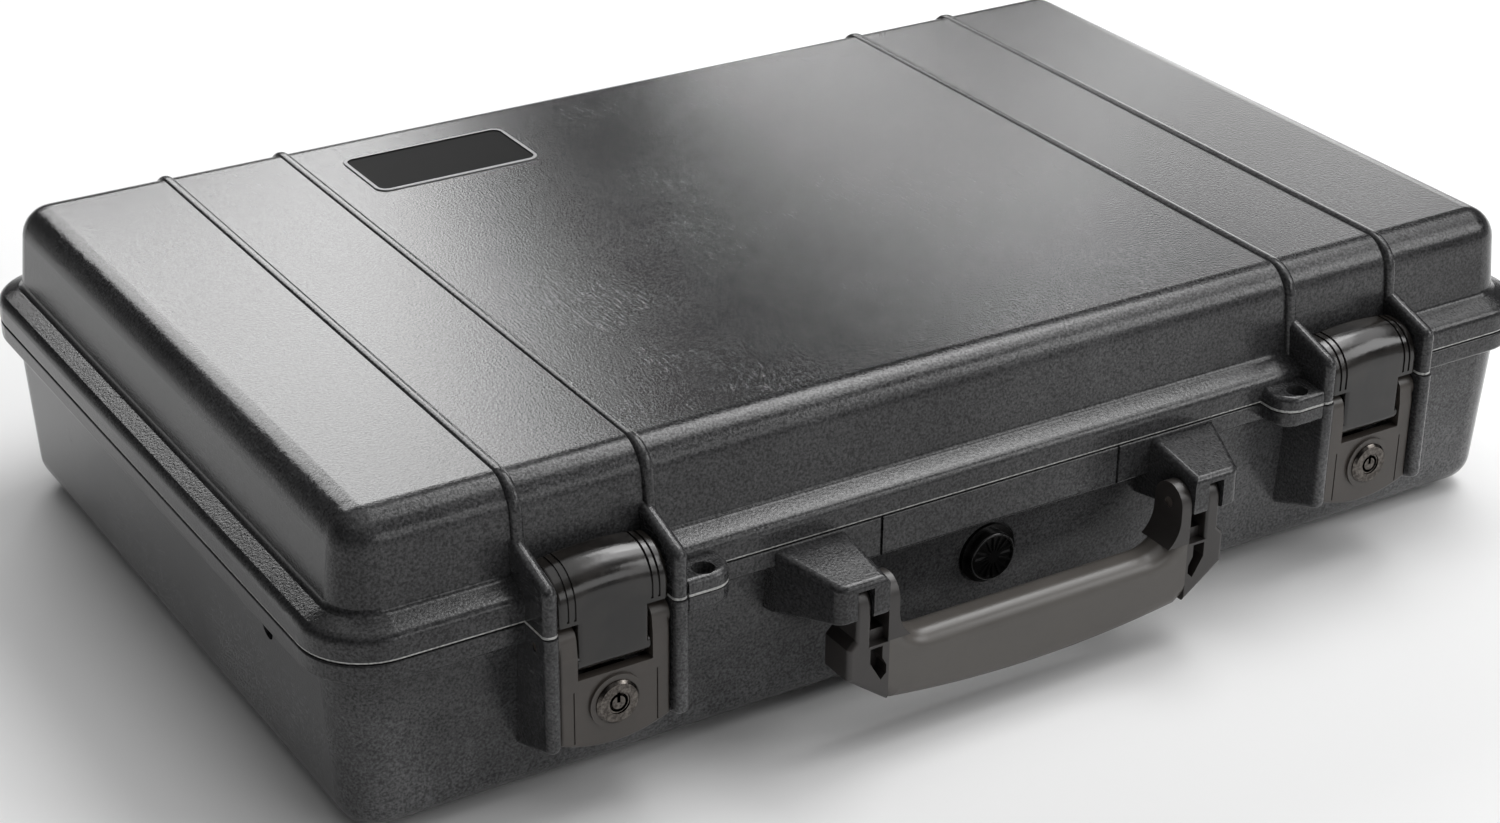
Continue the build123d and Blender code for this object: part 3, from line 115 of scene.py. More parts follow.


# Spark-textured polypropylene: a fine sandy grain breaks up every highlight and dulls the sheen in its pits.
# The sheen is satin at a low angle. Broad patches are rubbed paler and some carry short hairline scuffs. The
# patches are painted paler again towards the foot of the base and on forward faces, as painted light from the
# floor and the front, and a painted highlight lies as a pale line along the lid's parting edge.
# The grain and the scuffs are drawn a little coarser than they are, so that they show.
polypropylene, tree, surface = new_material("spark_textured_polypropylene", IOR=1.49)
spots = add_node(tree, "TexCoord").outputs
place = spots["Object"]
height = add_node(tree, "SeparateXYZ", {0: place}).outputs["Z"]
facing = add_node(tree, "SeparateXYZ", {0: spots["Normal"]}).outputs
patches = add_node(tree, "TexNoise", {"Vector": place, "Scale": 1 / PATCH, "Detail": 5.0, "Roughness": 0.62})
grain = add_node(tree, "TexNoise", {"Vector": place, "Scale": 1 / GRAIN, "Detail": 3.0, "Roughness": 0.6})

sway = add_node(tree, "TexNoise", {"Vector": place, "Scale": 1 / SWAY_LENGTH, "Detail": 1.0})
bent = add_node(tree, "VectorMath", {0: sway.outputs["Color"], 1: [SWAY_WIDTH] * 3}, operation="MULTIPLY")
swept = add_node(tree, "VectorMath", {0: place, 1: bent}, operation="ADD")
stroke = (1 / SCUFF_SPACING, 1 / SCUFF_LENGTH, 1 / SCUFF_SPACING)
strokes = add_node(tree, "Mapping", {"Vector": swept, "Rotation": SCUFF_TURN, "Scale": stroke})
scuffs = add_node(tree, "TexNoise", {"Vector": strokes, "Scale": 1.0, "Detail": 3.0, "Roughness": 0.7})
scuff_line = add_node(tree, "MapRange", {"Value": scuffs, "From Min": 0.54, "From Max": 0.76})
scuff_zone = add_node(tree, "MapRange", {"Value": patches, "From Min": 0.4, "From Max": 0.6})
scuffed = add_node(tree, "Math", {0: scuff_line, 1: scuff_zone}, operation="MULTIPLY")

# Painted light: the dust patches grow paler towards the foot of the base and on faces that look forward,
# standing in for light thrown up from the floor and light from the front.
painted_bounce_height = {"Value": height, "From Min": PAINTED_BOUNCE_TOP, "From Max": PAINTED_BOUNCE_FOOT, "To Min": 0.25, "To Max": 1.1}
painted_floor_bounce = add_node(tree, "MapRange", painted_bounce_height)
front = {"Value": facing["Y"], "From Min": -0.5, "From Max": -0.95, "To Min": 1.0, "To Max": 1.6}
painted_front_light = add_node(tree, "MapRange", front)
rubbed = add_node(tree, "MapRange", {"Value": patches, "From Min": 0.3, "From Max": 0.7})
dust_with_bounce = add_node(tree, "Math", {0: rubbed, 1: painted_floor_bounce}, operation="MULTIPLY")
dust_and_painted_light = add_node(tree, "Math", {0: dust_with_bounce, 1: painted_front_light}, operation="MULTIPLY")
tone = add_node(tree, "Math", {0: scuffed, 1: 0.5, 2: dust_and_painted_light}, operation="MULTIPLY_ADD", use_clamp=True)
paint = add_node(tree, "Mix", {0: tone, 6: linear(SHELL_COLOUR), 7: linear(SHELL_WEAR_AND_LIGHT)}, data_type="RGBA")
fleck = {"Value": grain, "From Min": 0.35, "From Max": 0.65, "To Min": 0.55, "To Max": 1.45}
speckle = add_node(tree, "MapRange", fleck)
speckled = add_node(tree, "VectorMath", {0: paint, 3: speckle}, operation="SCALE")

# Painted highlight: a pale line on the outer, downward-facing curve of the lid's parting edge, where light
# catches it.
above_parting = add_node(tree, "Math", {0: height, 1: PARTING_EDGE[0]}, operation="GREATER_THAN")
below_face = add_node(tree, "Math", {0: height, 1: PARTING_EDGE[1]}, operation="LESS_THAN")
edge_band = add_node(tree, "Math", {0: above_parting, 1: below_face}, operation="MULTIPLY")
broken = add_node(tree, "MapRange", {"Value": grain, "From Min": 0.3, "From Max": 0.6, "To Min": 0.4})
outer = {"Value": facing["Z"], "From Min": -0.85, "From Max": -0.55, "To Max": broken}
outer_curve = add_node(tree, "MapRange", outer)
parting_highlight = add_node(tree, "Math", {0: edge_band, 1: outer_curve}, operation="MULTIPLY")
finish = add_node(tree, "Mix", {0: parting_highlight, 6: speckled, 7: linear(SHELL_EDGE_HIGHLIGHT)}, data_type="RGBA")

bright, dull = SHELL_ROUGHNESS
sheen = {"Value": grain, "From Min": 0.3, "From Max": 0.7, "To Min": bright, "To Max": dull}
shine = add_node(tree, "MapRange", sheen)
shine_scuffed = add_node(tree, "Math", {0: scuffed, 1: 0.05, 2: shine}, operation="MULTIPLY_ADD")
pits = {"Value": grain, "From Min": 0.36, "From Max": 0.64, "To Min": 0.45, "To Max": 1.0}
glint = add_node(tree, "MapRange", pits)
relief = add_node(tree, "Math", {0: scuffed, 1: -0.12, 2: grain}, operation="MULTIPLY_ADD")
bump = add_node(tree, "Bump", {"Height": relief, "Strength": 0.55, "Distance": GRAIN_DEPTH})
dress(surface, Base_Color=finish, Roughness=shine_scuffed, Specular_Tint=glint, Normal=bump)
cover(polypropylene, "base_shell", "lid_shell")
for side in SIDES:
    cover(polypropylene, f"{side}_lid_padlock_tab", f"{side}_base_padlock_tab")

# Seal: a black rubber cord pressed into the lid's groove, with washers of the same rubber in the vent.
# Moulded rubber has a soft dull face with fine dusty mottling.
RUBBER_COLOUR = "#101010"
RUBBER_DUST = "#222222"
MOTTLE = 2.381 * MILLIMETRE
MOTTLE_DEPTH = 0.1 * MILLIMETRE
rubber, tree, surface = new_material("moulded_black_rubber", Roughness=0.62, IOR=1.52)
place = add_node(tree, "TexCoord").outputs["Object"]
mottle = add_node(tree, "TexNoise", {"Vector": place, "Scale": 1 / MOTTLE, "Detail": 4.0})
paint = add_node(tree, "Mix", {0: mottle, 6: linear(RUBBER_COLOUR), 7: linear(RUBBER_DUST)}, data_type="RGBA")
bump = add_node(tree, "Bump", {"Height": mottle, "Strength": 0.25, "Distance": MOTTLE_DEPTH})
dress(surface, Base_Color=paint, Normal=bump)
cover(rubber, "seal_ring", "vent_gasket", "vent_membrane")

# Hinge, handle and latch pins: drawn stainless steel rod, cropped to length and pressed into the mouldings.
# Drawing leaves fine lines along the rod, drawn coarser here so that they show, and a slightly warm tone.
STEEL_SHADE = "#8c7f76"
STEEL_BRIGHT = "#c4bab2"
STEEL_ROUGHNESS = (0.25, 0.45)
LINE_LENGTH = 16.667 * MILLIMETRE
LINE_WIDTH = 0.3125 * MILLIMETRE
drawn_steel, tree, surface = new_material("drawn_stainless_steel", Metallic=1.0)
place = add_node(tree, "TexCoord").outputs["Object"]
line = (1 / LINE_LENGTH, 1 / LINE_WIDTH, 1 / LINE_WIDTH)
along = add_node(tree, "Mapping", {"Vector": place, "Scale": line})
lines = add_node(tree, "TexNoise", {"Vector": along, "Scale": 1.0, "Detail": 3.0})
paint = add_node(tree, "Mix", {0: lines, 6: linear(STEEL_SHADE), 7: linear(STEEL_BRIGHT)}, data_type="RGBA")
bright, dull = STEEL_ROUGHNESS
shine = add_node(tree, "MapRange", {"Value": lines, "To Min": bright, "To Max": dull})
dress(surface, Base_Color=paint, Roughness=shine)
cover(drawn_steel, "handle_pins")
for side in SIDES:
    cover(drawn_steel, f"{side}_hinge_pin", f"{side}_lever_pins", f"{side}_claw_pin")

# Claws: glass-filled nylon hooks moulded in a polished tool, near black.
# The face is glossy with a faint orange peel and rubbed spots, so its highlights are sharp but not clean.
CLAW_COLOUR = "#131110"
CLAW_RUBBED = "#262320"
CLAW_ROUGHNESS = (0.15, 0.24)
ORANGE_PEEL = 3.2 * MILLIMETRE
PEEL_DEPTH = 0.3 * MILLIMETRE
CLAW_RUB = 16.667 * MILLIMETRE
polished_nylon, tree, surface = new_material("polished_black_nylon", IOR=1.53)
place = add_node(tree, "TexCoord").outputs["Object"]
peel = add_node(tree, "TexNoise", {"Vector": place, "Scale": 1 / ORANGE_PEEL, "Detail": 2.0})
rub = add_node(tree, "TexNoise", {"Vector": place, "Scale": 1 / CLAW_RUB, "Detail": 5.0, "Roughness": 0.65})
rubbed = add_node(tree, "MapRange", {"Value": rub, "From Min": 0.42, "From Max": 0.68})
paint = add_node(tree, "Mix", {0: rubbed, 6: linear(CLAW_COLOUR), 7: linear(CLAW_RUBBED)}, data_type="RGBA")
bright, dull = CLAW_ROUGHNESS
shine = add_node(tree, "MapRange", {"Value": rubbed, "To Min": bright, "To Max": dull})
bump = add_node(tree, "Bump", {"Height": peel, "Strength": 0.12, "Distance": PEEL_DEPTH})
dress(surface, Base_Color=paint, Roughness=shine, Normal=bump)
for side in SIDES:
    cover(polished_nylon, f"{side}_latch_claw")

# Levers: the same nylon from a lightly blasted tool, pinned between the base's ribs.
# Satin, a little browner than the shells, with a fine even grain and broad paler rubbed areas.
LEVER_COLOUR = "#2d2926"
LEVER_RUBBED = "#4b4540"
LEVER_ROUGHNESS = (0.3, 0.46)
LEVER_GRAIN = 0.7 * MILLIMETRE
LEVER_GRAIN_DEPTH = 0.12 * MILLIMETRE
LEVER_RUB = 22.222 * MILLIMETRE
satin_nylon, tree, surface = new_material("satin_black_nylon", IOR=1.53)
place = add_node(tree, "TexCoord").outputs["Object"]
grain = add_node(tree, "TexNoise", {"Vector": place, "Scale": 1 / LEVER_GRAIN, "Detail": 3.0})
rub = add_node(tree, "TexNoise", {"Vector": place, "Scale": 1 / LEVER_RUB, "Detail": 5.0, "Roughness": 0.7})
paint = add_node(tree, "Mix", {0: rub, 6: linear(LEVER_COLOUR), 7: linear(LEVER_RUBBED)}, data_type="RGBA")
bright, dull = LEVER_ROUGHNESS
shine = add_node(tree, "MapRange", {"Value": rub, "To Min": bright, "To Max": dull})
bump = add_node(tree, "Bump", {"Height": grain, "Strength": 0.15, "Distance": LEVER_GRAIN_DEPTH})
dress(surface, Base_Color=paint, Roughness=shine, Normal=bump)
for side in SIDES:
    cover(satin_nylon, f"{side}_latch_lever")

# Locks: a tubular-key cam lock in each lever, turned from steel and dark plated.
# The plating is smoky, with brighter worn high spots.
PLATING_COLOUR = "#45413e"
PLATING_WORN = "#75706b"
PLATING_ROUGHNESS = (0.14, 0.26)
WORN_SPOT = 1.1111 * MILLIMETRE
plated_steel, tree, surface = new_material("dark_plated_steel", Metallic=1.0)
place = add_node(tree, "TexCoord").outputs["Object"]
wear = add_node(tree, "TexNoise", {"Vector": place, "Scale": 1 / WORN_SPOT, "Detail": 4.0, "Roughness": 0.6})
worn = add_node(tree, "MapRange", {"Value": wear, "From Min": 0.4, "From Max": 0.7})
paint = add_node(tree, "Mix", {0: worn, 6: linear(PLATING_COLOUR), 7: linear(PLATING_WORN)}, data_type="RGBA")
bright, dull = PLATING_ROUGHNESS
shine = add_node(tree, "MapRange", {"Value": wear, "To Min": bright, "To Max": dull})
dress(surface, Base_Color=paint, Roughness=shine)
for side in SIDES:
    cover(plated_steel, *(f"{side}_lock_{piece}" for piece in ("barrel", "plug", "cam", "nut")))

# Handle: a stiff nylon frame that forks over the base's bosses, with a softer sleeve moulded over its middle.
# The frame is close to the levers in finish, but darker.
FRAME_COLOUR = "#1d1b1a"
FRAME_RUBBED = "#383432"
FRAME_ROUGHNESS = (0.26, 0.42)
FRAME_GRAIN = 0.9 * MILLIMETRE
FRAME_GRAIN_DEPTH = 0.15 * MILLIMETRE
FRAME_RUB = 25 * MILLIMETRE
frame_nylon, tree, surface = new_material("moulded_grey_nylon", IOR=1.53)
place = add_node(tree, "TexCoord").outputs["Object"]
grain = add_node(tree, "TexNoise", {"Vector": place, "Scale": 1 / FRAME_GRAIN, "Detail": 3.0})
rub = add_node(tree, "TexNoise", {"Vector": place, "Scale": 1 / FRAME_RUB, "Detail": 5.0, "Roughness": 0.7})
paint = add_node(tree, "Mix", {0: rub, 6: linear(FRAME_COLOUR), 7: linear(FRAME_RUBBED)}, data_type="RGBA")
bright, dull = FRAME_ROUGHNESS
shine = add_node(tree, "MapRange", {"Value": rub, "To Min": bright, "To Max": dull})
bump = add_node(tree, "Bump", {"Height": grain, "Strength": 0.2, "Distance": FRAME_GRAIN_DEPTH})
dress(surface, Base_Color=paint, Roughness=shine, Normal=bump)
cover(frame_nylon, "handle_frame")

# Grip elastomer: moulded over the frame in a second shot, a warm grey with a smooth, slightly hazy skin.
GRIP_COLOUR = "#45423f"
GRIP_HAZED = "#5b5753"
GRIP_ROUGHNESS = (0.24, 0.42)
GRIP_HAZE = 28.571 * MILLIMETRE
GRIP_GRAIN = 0.6 * MILLIMETRE
GRIP_GRAIN_DEPTH = 0.1 * MILLIMETRE
grip_skin, tree, surface = new_material("overmoulded_grip_elastomer", IOR=1.5)
place = add_node(tree, "TexCoord").outputs["Object"]
haze = add_node(tree, "TexNoise", {"Vector": place, "Scale": 1 / GRIP_HAZE, "Detail": 6.0, "Roughness": 0.65})
grain = add_node(tree, "TexNoise", {"Vector": place, "Scale": 1 / GRIP_GRAIN, "Detail": 2.0})
paint = add_node(tree, "Mix", {0: haze, 6: linear(GRIP_COLOUR), 7: linear(GRIP_HAZED)}, data_type="RGBA")
bright, dull = GRIP_ROUGHNESS
shine = add_node(tree, "MapRange", {"Value": haze, "To Min": bright, "To Max": dull})
bump = add_node(tree, "Bump", {"Height": grain, "Strength": 0.12, "Distance": GRIP_GRAIN_DEPTH})
dress(surface, Base_Color=paint, Roughness=shine, Normal=bump)
cover(grip_skin, "handle_grip")

# Vent: a small pressure valve of gloss black acetal, clamped through the base's wall by its nut.
# It is smooth and bright, with a faint haze.
VENT_COLOUR = "#0b0b0b"
VENT_HAZED = "#161616"
VENT_ROUGHNESS = (0.12, 0.28)
VENT_HAZE = 3.125 * MILLIMETRE
gloss_acetal, tree, surface = new_material("gloss_black_acetal", IOR=1.48)
place = add_node(tree, "TexCoord").outputs["Object"]
haze = add_node(tree, "TexNoise", {"Vector": place, "Scale": 1 / VENT_HAZE, "Detail": 4.0})
paint = add_node(tree, "Mix", {0: haze, 6: linear(VENT_COLOUR), 7: linear(VENT_HAZED)}, data_type="RGBA")
bright, dull = VENT_ROUGHNESS
shine = add_node(tree, "MapRange", {"Value": haze, "To Min": bright, "To Max": dull})
dress(surface, Base_Color=paint, Roughness=shine)
cover(gloss_acetal, "vent_body", "vent_cap", "vent_nut")

# Label: an anodised aluminium plate stuck in the lid's recess, black inside a bare border, nothing printed.
# The bare border has fine rolling lines, drawn coarser so that they show, and the black field is dull satin.
LABEL_BORDER = 1.4 * MILLIMETRE
LABEL_CORNER = 3.6 * MILLIMETRE
ROLLED_LENGTH = 11.111 * MILLIMETRE
ROLLED_WIDTH = 0.2381 * MILLIMETRE
BARE_SHADE = "#6c6c6d"
BARE_BRIGHT = "#9a9a9b"
FIELD_SHADE = "#0c0c0c"
FIELD_BRIGHT = "#1c1c1c"
LABEL_ROUGHNESS = (0.42, 0.56)
low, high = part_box("label_plate")
label_centre = (low + high) / 2
label_half = (high - low) / 2
anodised, tree, surface = new_material("black_anodised_aluminium", Specular_IOR_Level=0.03)
place = add_node(tree, "TexCoord").outputs["Object"]
centred = add_node(tree, "VectorMath", {0: place, 1: label_centre}, operation="SUBTRACT")
folded = add_node(tree, "VectorMath", {0: centred}, operation="ABSOLUTE")
straight = (label_half.x - LABEL_BORDER - LABEL_CORNER, label_half.y - LABEL_BORDER - LABEL_CORNER, 1.0)
past = add_node(tree, "VectorMath", {0: folded, 1: straight}, operation="SUBTRACT")
outside = add_node(tree, "VectorMath", {0: past, 1: (0, 0, 0)}, operation="MAXIMUM")
reach = add_node(tree, "VectorMath", {0: outside}, operation="LENGTH")
border = add_node(tree, "Math", {0: reach, 1: LABEL_CORNER}, operation="GREATER_THAN")
rolled = add_node(tree, "Mapping", {"Vector": place, "Scale": (1 / ROLLED_LENGTH, 1 / ROLLED_WIDTH, 1.0)})
lines = add_node(tree, "TexNoise", {"Vector": rolled, "Scale": 1.0, "Detail": 3.0})
bare = add_node(tree, "Mix", {0: lines, 6: linear(BARE_SHADE), 7: linear(BARE_BRIGHT)}, data_type="RGBA")
field = add_node(tree, "Mix", {0: lines, 6: linear(FIELD_SHADE), 7: linear(FIELD_BRIGHT)}, data_type="RGBA")
paint = add_node(tree, "Mix", {0: border, 6: field, 7: bare}, data_type="RGBA")
bright, dull = LABEL_ROUGHNESS
shine = add_node(tree, "MapRange", {"Value": lines, "To Min": bright, "To Max": dull})
dress(surface, Base_Color=paint, Metallic=border, Roughness=shine)
cover(anodised, "label_plate")

# Foam: charcoal open-cell polyurethane. A flat pad lies on the base's floor, four walls on it frame the
# laptop's pocket, and a sheet cut into rows of peaks lines the lid. A close fit holds them all.
# Cut open cells leave a matt surface pitted with pores, each darkened with painted shade, lighter along its
# walls.
FOAM_PORE_SHADE = "#161617"
FOAM_WALL = "#404043"
FOAM_CELL = 1.6 * MILLIMETRE
FOAM_CELL_DEPTH = 0.5 * MILLIMETRE
FOAM_CLUMP = 11.111 * MILLIMETRE
open_cell_foam, tree, surface = new_material(
    "open_cell_polyurethane_foam", Roughness=0.95, IOR=1.4, Specular_IOR_Level=0.2
)
place = add_node(tree, "TexCoord").outputs["Object"]
cells = add_node(tree, "TexVoronoi", {"Vector": place, "Scale": 1 / FOAM_CELL})
clumps = add_node(tree, "TexNoise", {"Vector": place, "Scale": 1 / FOAM_CLUMP, "Detail": 4.0})
depth = add_node(tree, "MapRange", {"Value": cells, "From Min": 0.1, "From Max": 0.75})
# Painted shade: the pores take a dark colour where the cell depth is low, standing in for the shade inside
# them.
wall = add_node(tree, "Mix", {0: depth, 6: linear(FOAM_PORE_SHADE), 7: linear(FOAM_WALL)}, data_type="RGBA")
clump = {"Value": clumps, "From Min": 0.3, "From Max": 0.7, "To Min": 0.8, "To Max": 1.15}
shade = add_node(tree, "MapRange", clump)
paint = add_node(tree, "VectorMath", {0: wall, 3: shade}, operation="SCALE")
bump = add_node(tree, "Bump", {"Height": depth, "Strength": 0.7, "Distance": FOAM_CELL_DEPTH})
dress(surface, Base_Color=paint, Normal=bump)
CORNER_CUTS = 7
BEND_STEP = 30
LEVEL_WITHIN = 0.01 * MILLIMETRE
UPRIGHT_NORMAL = 0.3
SHARP_ANGLE = 50


def cut(sheet, point, outward, clear=True):
    """Cuts a sheet along a plane, and clears what lies outside it."""
    everything = sheet.verts[:] + sheet.edges[:] + sheet.faces[:]
    bmesh.ops.bisect_plane(sheet, geom=everything, plane_co=point, plane_no=outward, clear_outer=clear)


def foam_sheet(low, high, radius, columns, rows):
    """A level grid at the top of a box, with the box's upright corners rounded off."""
    centre, half = (low + high) / 2, (high - low) / 2
    sheet = bmesh.new()
    bmesh.ops.create_grid(sheet, x_segments=columns, y_segments=rows, size=1.0)
    bmesh.ops.scale(sheet, vec=(half.x, half.y, 1), verts=sheet.verts)
    bmesh.ops.translate(sheet, vec=(centre.x, centre.y, high.z), verts=sheet.verts)
    for right, up in ((1, 1), (-1, 1), (-1, -1), (1, -1)):
        middle = Vector((centre.x + right * (half.x - radius), centre.y + up * (half.y - radius), 0))
        for step in range(CORNER_CUTS):
            angle = math.radians(90 * (step + 0.5) / CORNER_CUTS)
            outward = Vector((right * math.cos(angle), up * math.sin(angle), 0))
            cut(sheet, middle + outward * radius, outward)
    return sheet


def roughen(sheet, amount, pitch):
    """Lowers the inner points of a sheet a little, unevenly, as a saw leaves soft foam."""
    for vertex in sheet.verts:
        if not vertex.is_boundary:
            vertex.co.z -= amount * (0.5 + 0.5 * noise.noise(vertex.co / pitch))


def extrude_down(block, faces, z, inset=0.0, keep=False):
    """Extrudes faces to a height, drawn in by inset all round; returns the faces that were moved."""
    grown = bmesh.ops.extrude_face_region(block, geom=faces, use_keep_orig=keep)["geom"]
    moved = [item for item in grown if isinstance(item, bmesh.types.BMVert)]
    spots = [vertex.co for vertex in moved]
    centre = [(min(spot[axis] for spot in spots) + max(spot[axis] for spot in spots)) / 2 for axis in (0, 1)]
    half = [(max(spot[axis] for spot in spots) - min(spot[axis] for spot in spots)) / 2 for axis in (0, 1)]
    for vertex in moved:
        for axis in (0, 1):
            vertex.co[axis] = centre[axis] + (vertex.co[axis] - centre[axis]) * (1 - inset / half[axis])
        vertex.co.z = z
    return [item for item in grown if isinstance(item, bmesh.types.BMFace)]


def close_rounded(sheet, z, bend):
    """Gives a sheet its sides and its underside, with a rounded edge between them."""
    under = extrude_down(sheet, sheet.faces[:], z + bend, keep=True)
    for turn in range(BEND_STEP, 91, BEND_STEP):
        drop = bend * math.sin(math.radians(turn))
        step = bend * (math.cos(math.radians(turn - BEND_STEP)) - math.cos(math.radians(turn)))
        under = extrude_down(sheet, under, z + bend - drop, inset=step)


def soften_rim(block, z, width):
    """Rounds the edges where a block's sides meet its top."""
    rim = []
    for edge in block.edges:
        level = all(abs(vertex.co.z - z) < LEVEL_WITHIN for vertex in edge.verts)
        if level and any(abs(face.normal.z) < UPRIGHT_NORMAL for face in edge.link_faces):
            rim.append(edge)
    bmesh.ops.bevel(block, geom=rim, offset=width, segments=3, profile=0.5, affect="EDGES", material=-1)


def foam_piece(name, block, body, node):
    """Makes one foam piece from its block, in place of its CAD node."""
    bmesh.ops.recalc_face_normals(block, faces=block.faces)
    for face in block.faces:
        face.smooth = True
    mesh = bpy.data.meshes.new(name)
    block.to_mesh(mesh)
    block.free()
    mesh.set_sharp_from_angle(angle=math.radians(SHARP_ANGLE))
    piece = bpy.data.objects.new(name, mesh)
    bpy.context.scene.collection.objects.link(piece)
    cover(open_cell_foam, piece)
    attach(piece, body)
    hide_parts(node)


# Floor pad: a plain sheet of the foam, cut to the base's floor and rounded where the floor meets the walls.
FLOOR_CORNER = 9.6 * MILLIMETRE
FLOOR_BEND = 8.0 * MILLIMETRE
FLOOR_GRID = (80, 48)
SAW_WAVE = 0.6 * MILLIMETRE
SAW_PITCH = 30 * MILLIMETRE
low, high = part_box("base_foam_pad")
pad = foam_sheet(low, high, FLOOR_CORNER, *FLOOR_GRID)
roughen(pad, SAW_WAVE, SAW_PITCH)
close_rounded(pad, low.z, FLOOR_BEND)
foam_piece("floor_pad_foam", pad, "base", "base_foam_pad")

# Pocket walls: four strips of the foam stand on the pad, butted at the corners. The front one is cut away
# behind the vent's nut, and all four have softened rims.
RIM_SOFTENING = 1.6 * MILLIMETRE
VENT_NOTCH_HALF = 13.5 * MILLIMETRE
VENT_NOTCH_BACK = -126.2 * MILLIMETRE
VENT_NOTCH_TOP = 55.1 * MILLIMETRE
walls_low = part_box("foam_front_wall")[0]
walls_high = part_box("foam_back_wall")[1]


def in_vent_notch(face):
    """Whether a face lies over the hollow behind the vent's nut."""
    middle = face.calc_center_median()
    return abs(middle.x) < VENT_NOTCH_HALF and middle.y < VENT_NOTCH_BACK


for node in ("foam_front_wall", "foam_back_wall", "left_foam_end_wall", "right_foam_end_wall"):
    low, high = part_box(node)
    strip = foam_sheet(walls_low, walls_high, FLOOR_CORNER, *FLOOR_GRID)
    for corner, sign in ((low, -1), (high, 1)):
        cut(strip, corner, Vector((sign, 0, 0)))
        cut(strip, corner, Vector((0, sign, 0)))
    if node == "foam_front_wall":
        cut(strip, (-VENT_NOTCH_HALF, 0, 0), (1, 0, 0), clear=False)
        cut(strip, (VENT_NOTCH_HALF, 0, 0), (1, 0, 0), clear=False)
        cut(strip, (0, VENT_NOTCH_BACK, 0), (0, 1, 0), clear=False)
    roughen(strip, SAW_WAVE, SAW_PITCH)
    if node == "foam_front_wall":
        under = extrude_down(strip, strip.faces[:], VENT_NOTCH_TOP, keep=True)
        extrude_down(strip, [face for face in under if not in_vent_notch(face)], low.z)
    else:
        extrude_down(strip, strip.faces[:], low.z, keep=True)
    soften_rim(strip, high.z, RIM_SOFTENING)
    foam_piece(node + "_strip", strip, "base", node)

# Lid lining: a sheet of the foam cut into rows of soft peaks that press on what lies in the pocket.
PEAK_PITCH = 26.0 * MILLIMETRE
PEAK_HEIGHT = 15.0 * MILLIMETRE
PEAK_UNEVENNESS = 0.06
LINING_CORNER = 7.0 * MILLIMETRE
LINING_BEND = 6.0 * MILLIMETRE
LINING_GRID = (180, 108)
low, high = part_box("lid_foam")
lining = foam_sheet(low, high, LINING_CORNER, *LINING_GRID)
for vertex in lining.verts:
    turn_x, turn_y = (2 * math.pi * vertex.co[axis] / PEAK_PITCH for axis in (0, 1))
    valley = 0.5 - 0.5 * math.cos(turn_x) * math.cos(turn_y)
    worn_down = PEAK_UNEVENNESS * (0.5 + 0.5 * noise.noise(vertex.co / SAW_PITCH))
    vertex.co.z -= PEAK_HEIGHT * valley * (1 - worn_down)
close_rounded(lining, low.z, LINING_BEND)
flip = Matrix.Rotation(math.pi, 3, "X")
bmesh.ops.rotate(lining, cent=(low + high) / 2, matrix=flip, verts=lining.verts)
foam_piece("lid_lining_foam", lining, "lid", "lid_foam")

# Studio: a pale paper floor, soft lights overhead and at the front right, and softboxes behind the case that
# lie on the lid, in reflection, as one bright field on each side of a dark band.
FLOOR_HALF = 12.0
FLOOR_COLOUR = "#f0f0f0"
floor_sheet = bmesh.new()
bmesh.ops.create_grid(floor_sheet, x_segments=1, y_segments=1, size=FLOOR_HALF)
floor_mesh = bpy.data.meshes.new("studio_floor")
floor_sheet.to_mesh(floor_mesh)
floor_sheet.free()
floor = bpy.data.objects.new("studio_floor", floor_mesh)
bpy.context.scene.collection.objects.link(floor)
paper, tree, surface = new_material("matt_paper_floor", Roughness=0.9, Specular_IOR_Level=0.1)
surface.inputs["Base Color"].default_value = linear(FLOOR_COLOUR)
cover(paper, floor)


def softbox(name, at, towards, size, power, roll=0.0):
    """A rectangular area light that faces a point, in metres, watts and degrees."""
    data = bpy.data.lights.new(name, "AREA")
    data.shape = "RECTANGLE"
    data.size, data.size_y = size
    data.energy = power
    lamp = bpy.data.objects.new(name, data)
    aim = (Vector(towards) - Vector(at)).to_track_quat("-Z", "Y").to_matrix().to_4x4()
    lamp.matrix_world = Matrix.Translation(at) @ aim @ Matrix.Rotation(math.radians(roll), 4, "Z")
    lamp.visible_camera = False
    bpy.context.scene.collection.objects.link(lamp)


# The first four light the lid's top and ledge from above, and the next two light the front. The two at the
# back left make the bright field on the left of the lid, and the last two make the field on its right.
softbox("overhead_softbox", (0.9, 0.1, 2.2), (0.9, 0.1, 0), (3.0, 2.6), 12.0)
softbox("upper_right_softbox", (1.3, -0.1, 2.0), (0.1, 0, 0.06), (1.6, 1.4), 11.0)
softbox("ledge_softbox", (1.05, -0.2, 2.1), (0, 0, 0.1), (0.9, 0.7), 6.0)
softbox("boss_softbox", (0.95, 0.45, 1.8), (0.1, 0, 0.06), (0.8, 0.6), 8.5)
softbox("front_right_softbox", (1.7, -1.5, 1.5), (0.1, 0, 0.06), (1.2, 1.0), 17.0)
softbox("front_softbox", (0.9, -2.6, 1.1), (0.1, 0, 0.1), (1.4, 0.9), 8.0)
softbox("back_left_softbox", (0.347, 1.2, 0.882), (0.347, 0, 0.882), (0.383, 0.76), 5.2, 21.9)
softbox("back_left_edge_softbox", (-0.13, 1.19, 0.885), (-0.13, 0, 0.885), (0.50, 0.56), 4.4)
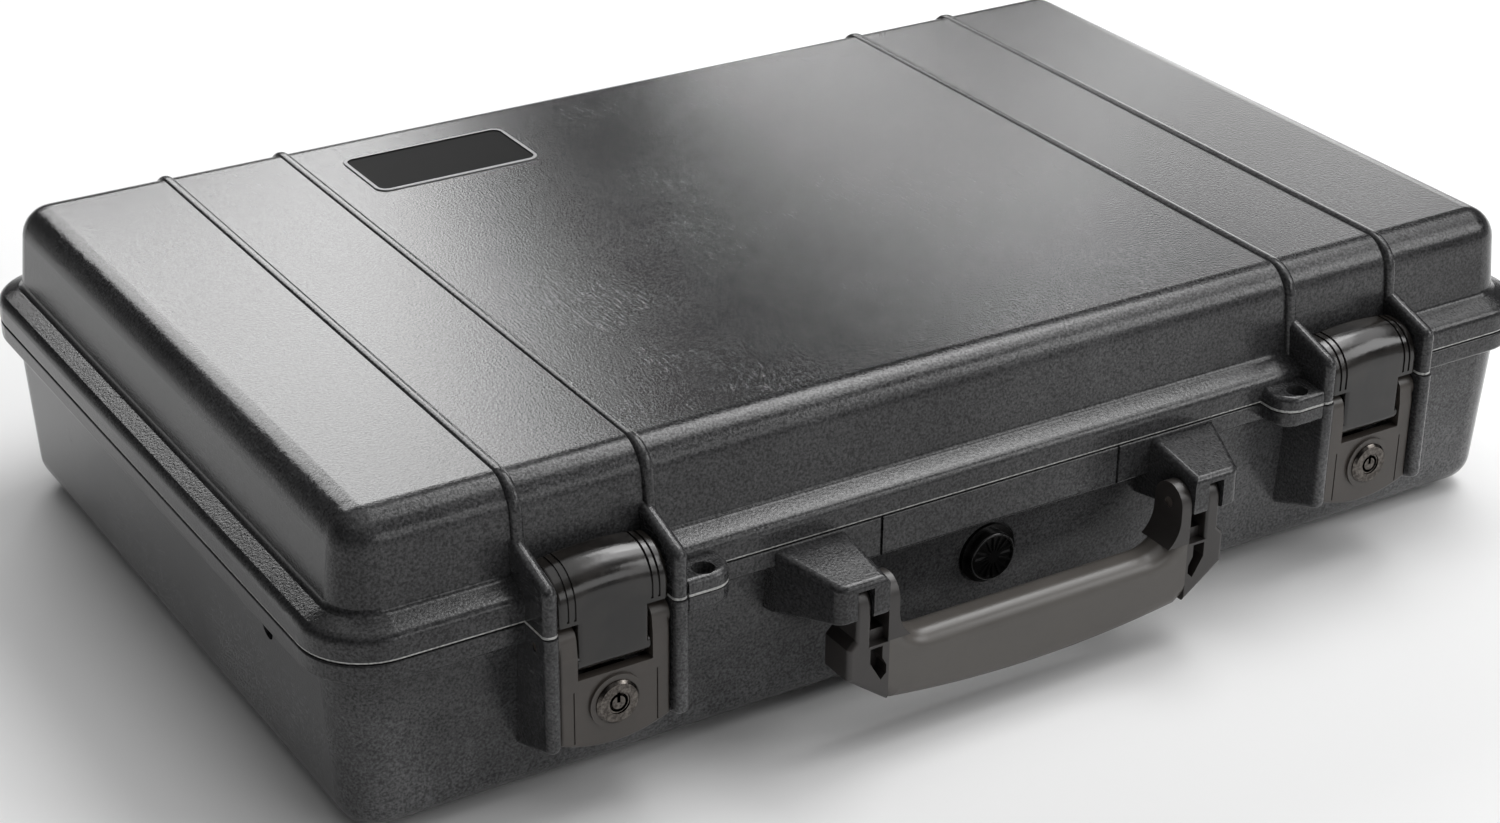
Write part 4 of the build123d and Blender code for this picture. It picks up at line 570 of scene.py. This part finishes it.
softbox("back_right_strip", (0.894, 1.2, 0.641), (0.894, 0, 0.641), (0.66, 0.055), 1.2, -41.7)
softbox("back_right_softbox", (1.487, 1.2, 0.563), (1.487, 0, 0.563), (0.744, 0.80), 4.4, -25.7)

# Studio air: the grey level of the room from the horizon to straight up, as (height, level) steps.
AIR_LEVELS = ((0.0, 0.4), (0.3, 0.04), (0.62, 0.04), (0.95, 0.6))
world = bpy.data.worlds.new("studio_air")
world.use_nodes = True
bpy.context.scene.world = world
tree = world.node_tree
background = tree.nodes["Background"]
background.inputs["Strength"].default_value = 1.0
direction = add_node(tree, "TexCoord").outputs["Generated"]
height = add_node(tree, "SeparateXYZ", {"Vector": direction}).outputs["Z"]
rise = add_node(tree, "ValToRGB", {"Fac": height})
stops = rise.color_ramp.elements
for number, (position, level) in enumerate(AIR_LEVELS):
    stop = stops[number] if number < 2 else stops.new(position)
    stop.position = position
    stop.color = (level, level, level, 1)
dress(background, Color=rise)

# Camera: a long lens that looks down on the case from its front left corner.
CAMERA_AT = (-0.56133, -0.88377, 0.56924)
AZIMUTH, ELEVATION, ROLL = -31.971, 27.072, 0.628
FOCAL_PIXELS = 3020.6
FRAME_PIXELS = 1500
SENSOR_WIDTH = 36.0
camera_data = bpy.data.cameras.new("case_camera")
camera_data.sensor_width = SENSOR_WIDTH
camera_data.lens = SENSOR_WIDTH * FOCAL_PIXELS / FRAME_PIXELS
camera_data.clip_start, camera_data.clip_end = 0.01, 100.0
camera = bpy.data.objects.new("case_camera", camera_data)
azimuth, elevation = math.radians(AZIMUTH), math.radians(ELEVATION)
level_reach = math.cos(elevation)
back = Vector((math.sin(azimuth) * level_reach, -math.cos(azimuth) * level_reach, math.sin(elevation)))
turn = (-back).to_track_quat("-Z", "Y").to_matrix().to_4x4()
tilt = Matrix.Rotation(math.radians(ROLL), 4, "Z")
camera.matrix_world = Matrix.Translation(CAMERA_AT) @ turn @ tilt
bpy.context.scene.collection.objects.link(camera)
bpy.context.scene.camera = camera
bpy.context.scene.view_settings.view_transform = "Standard"
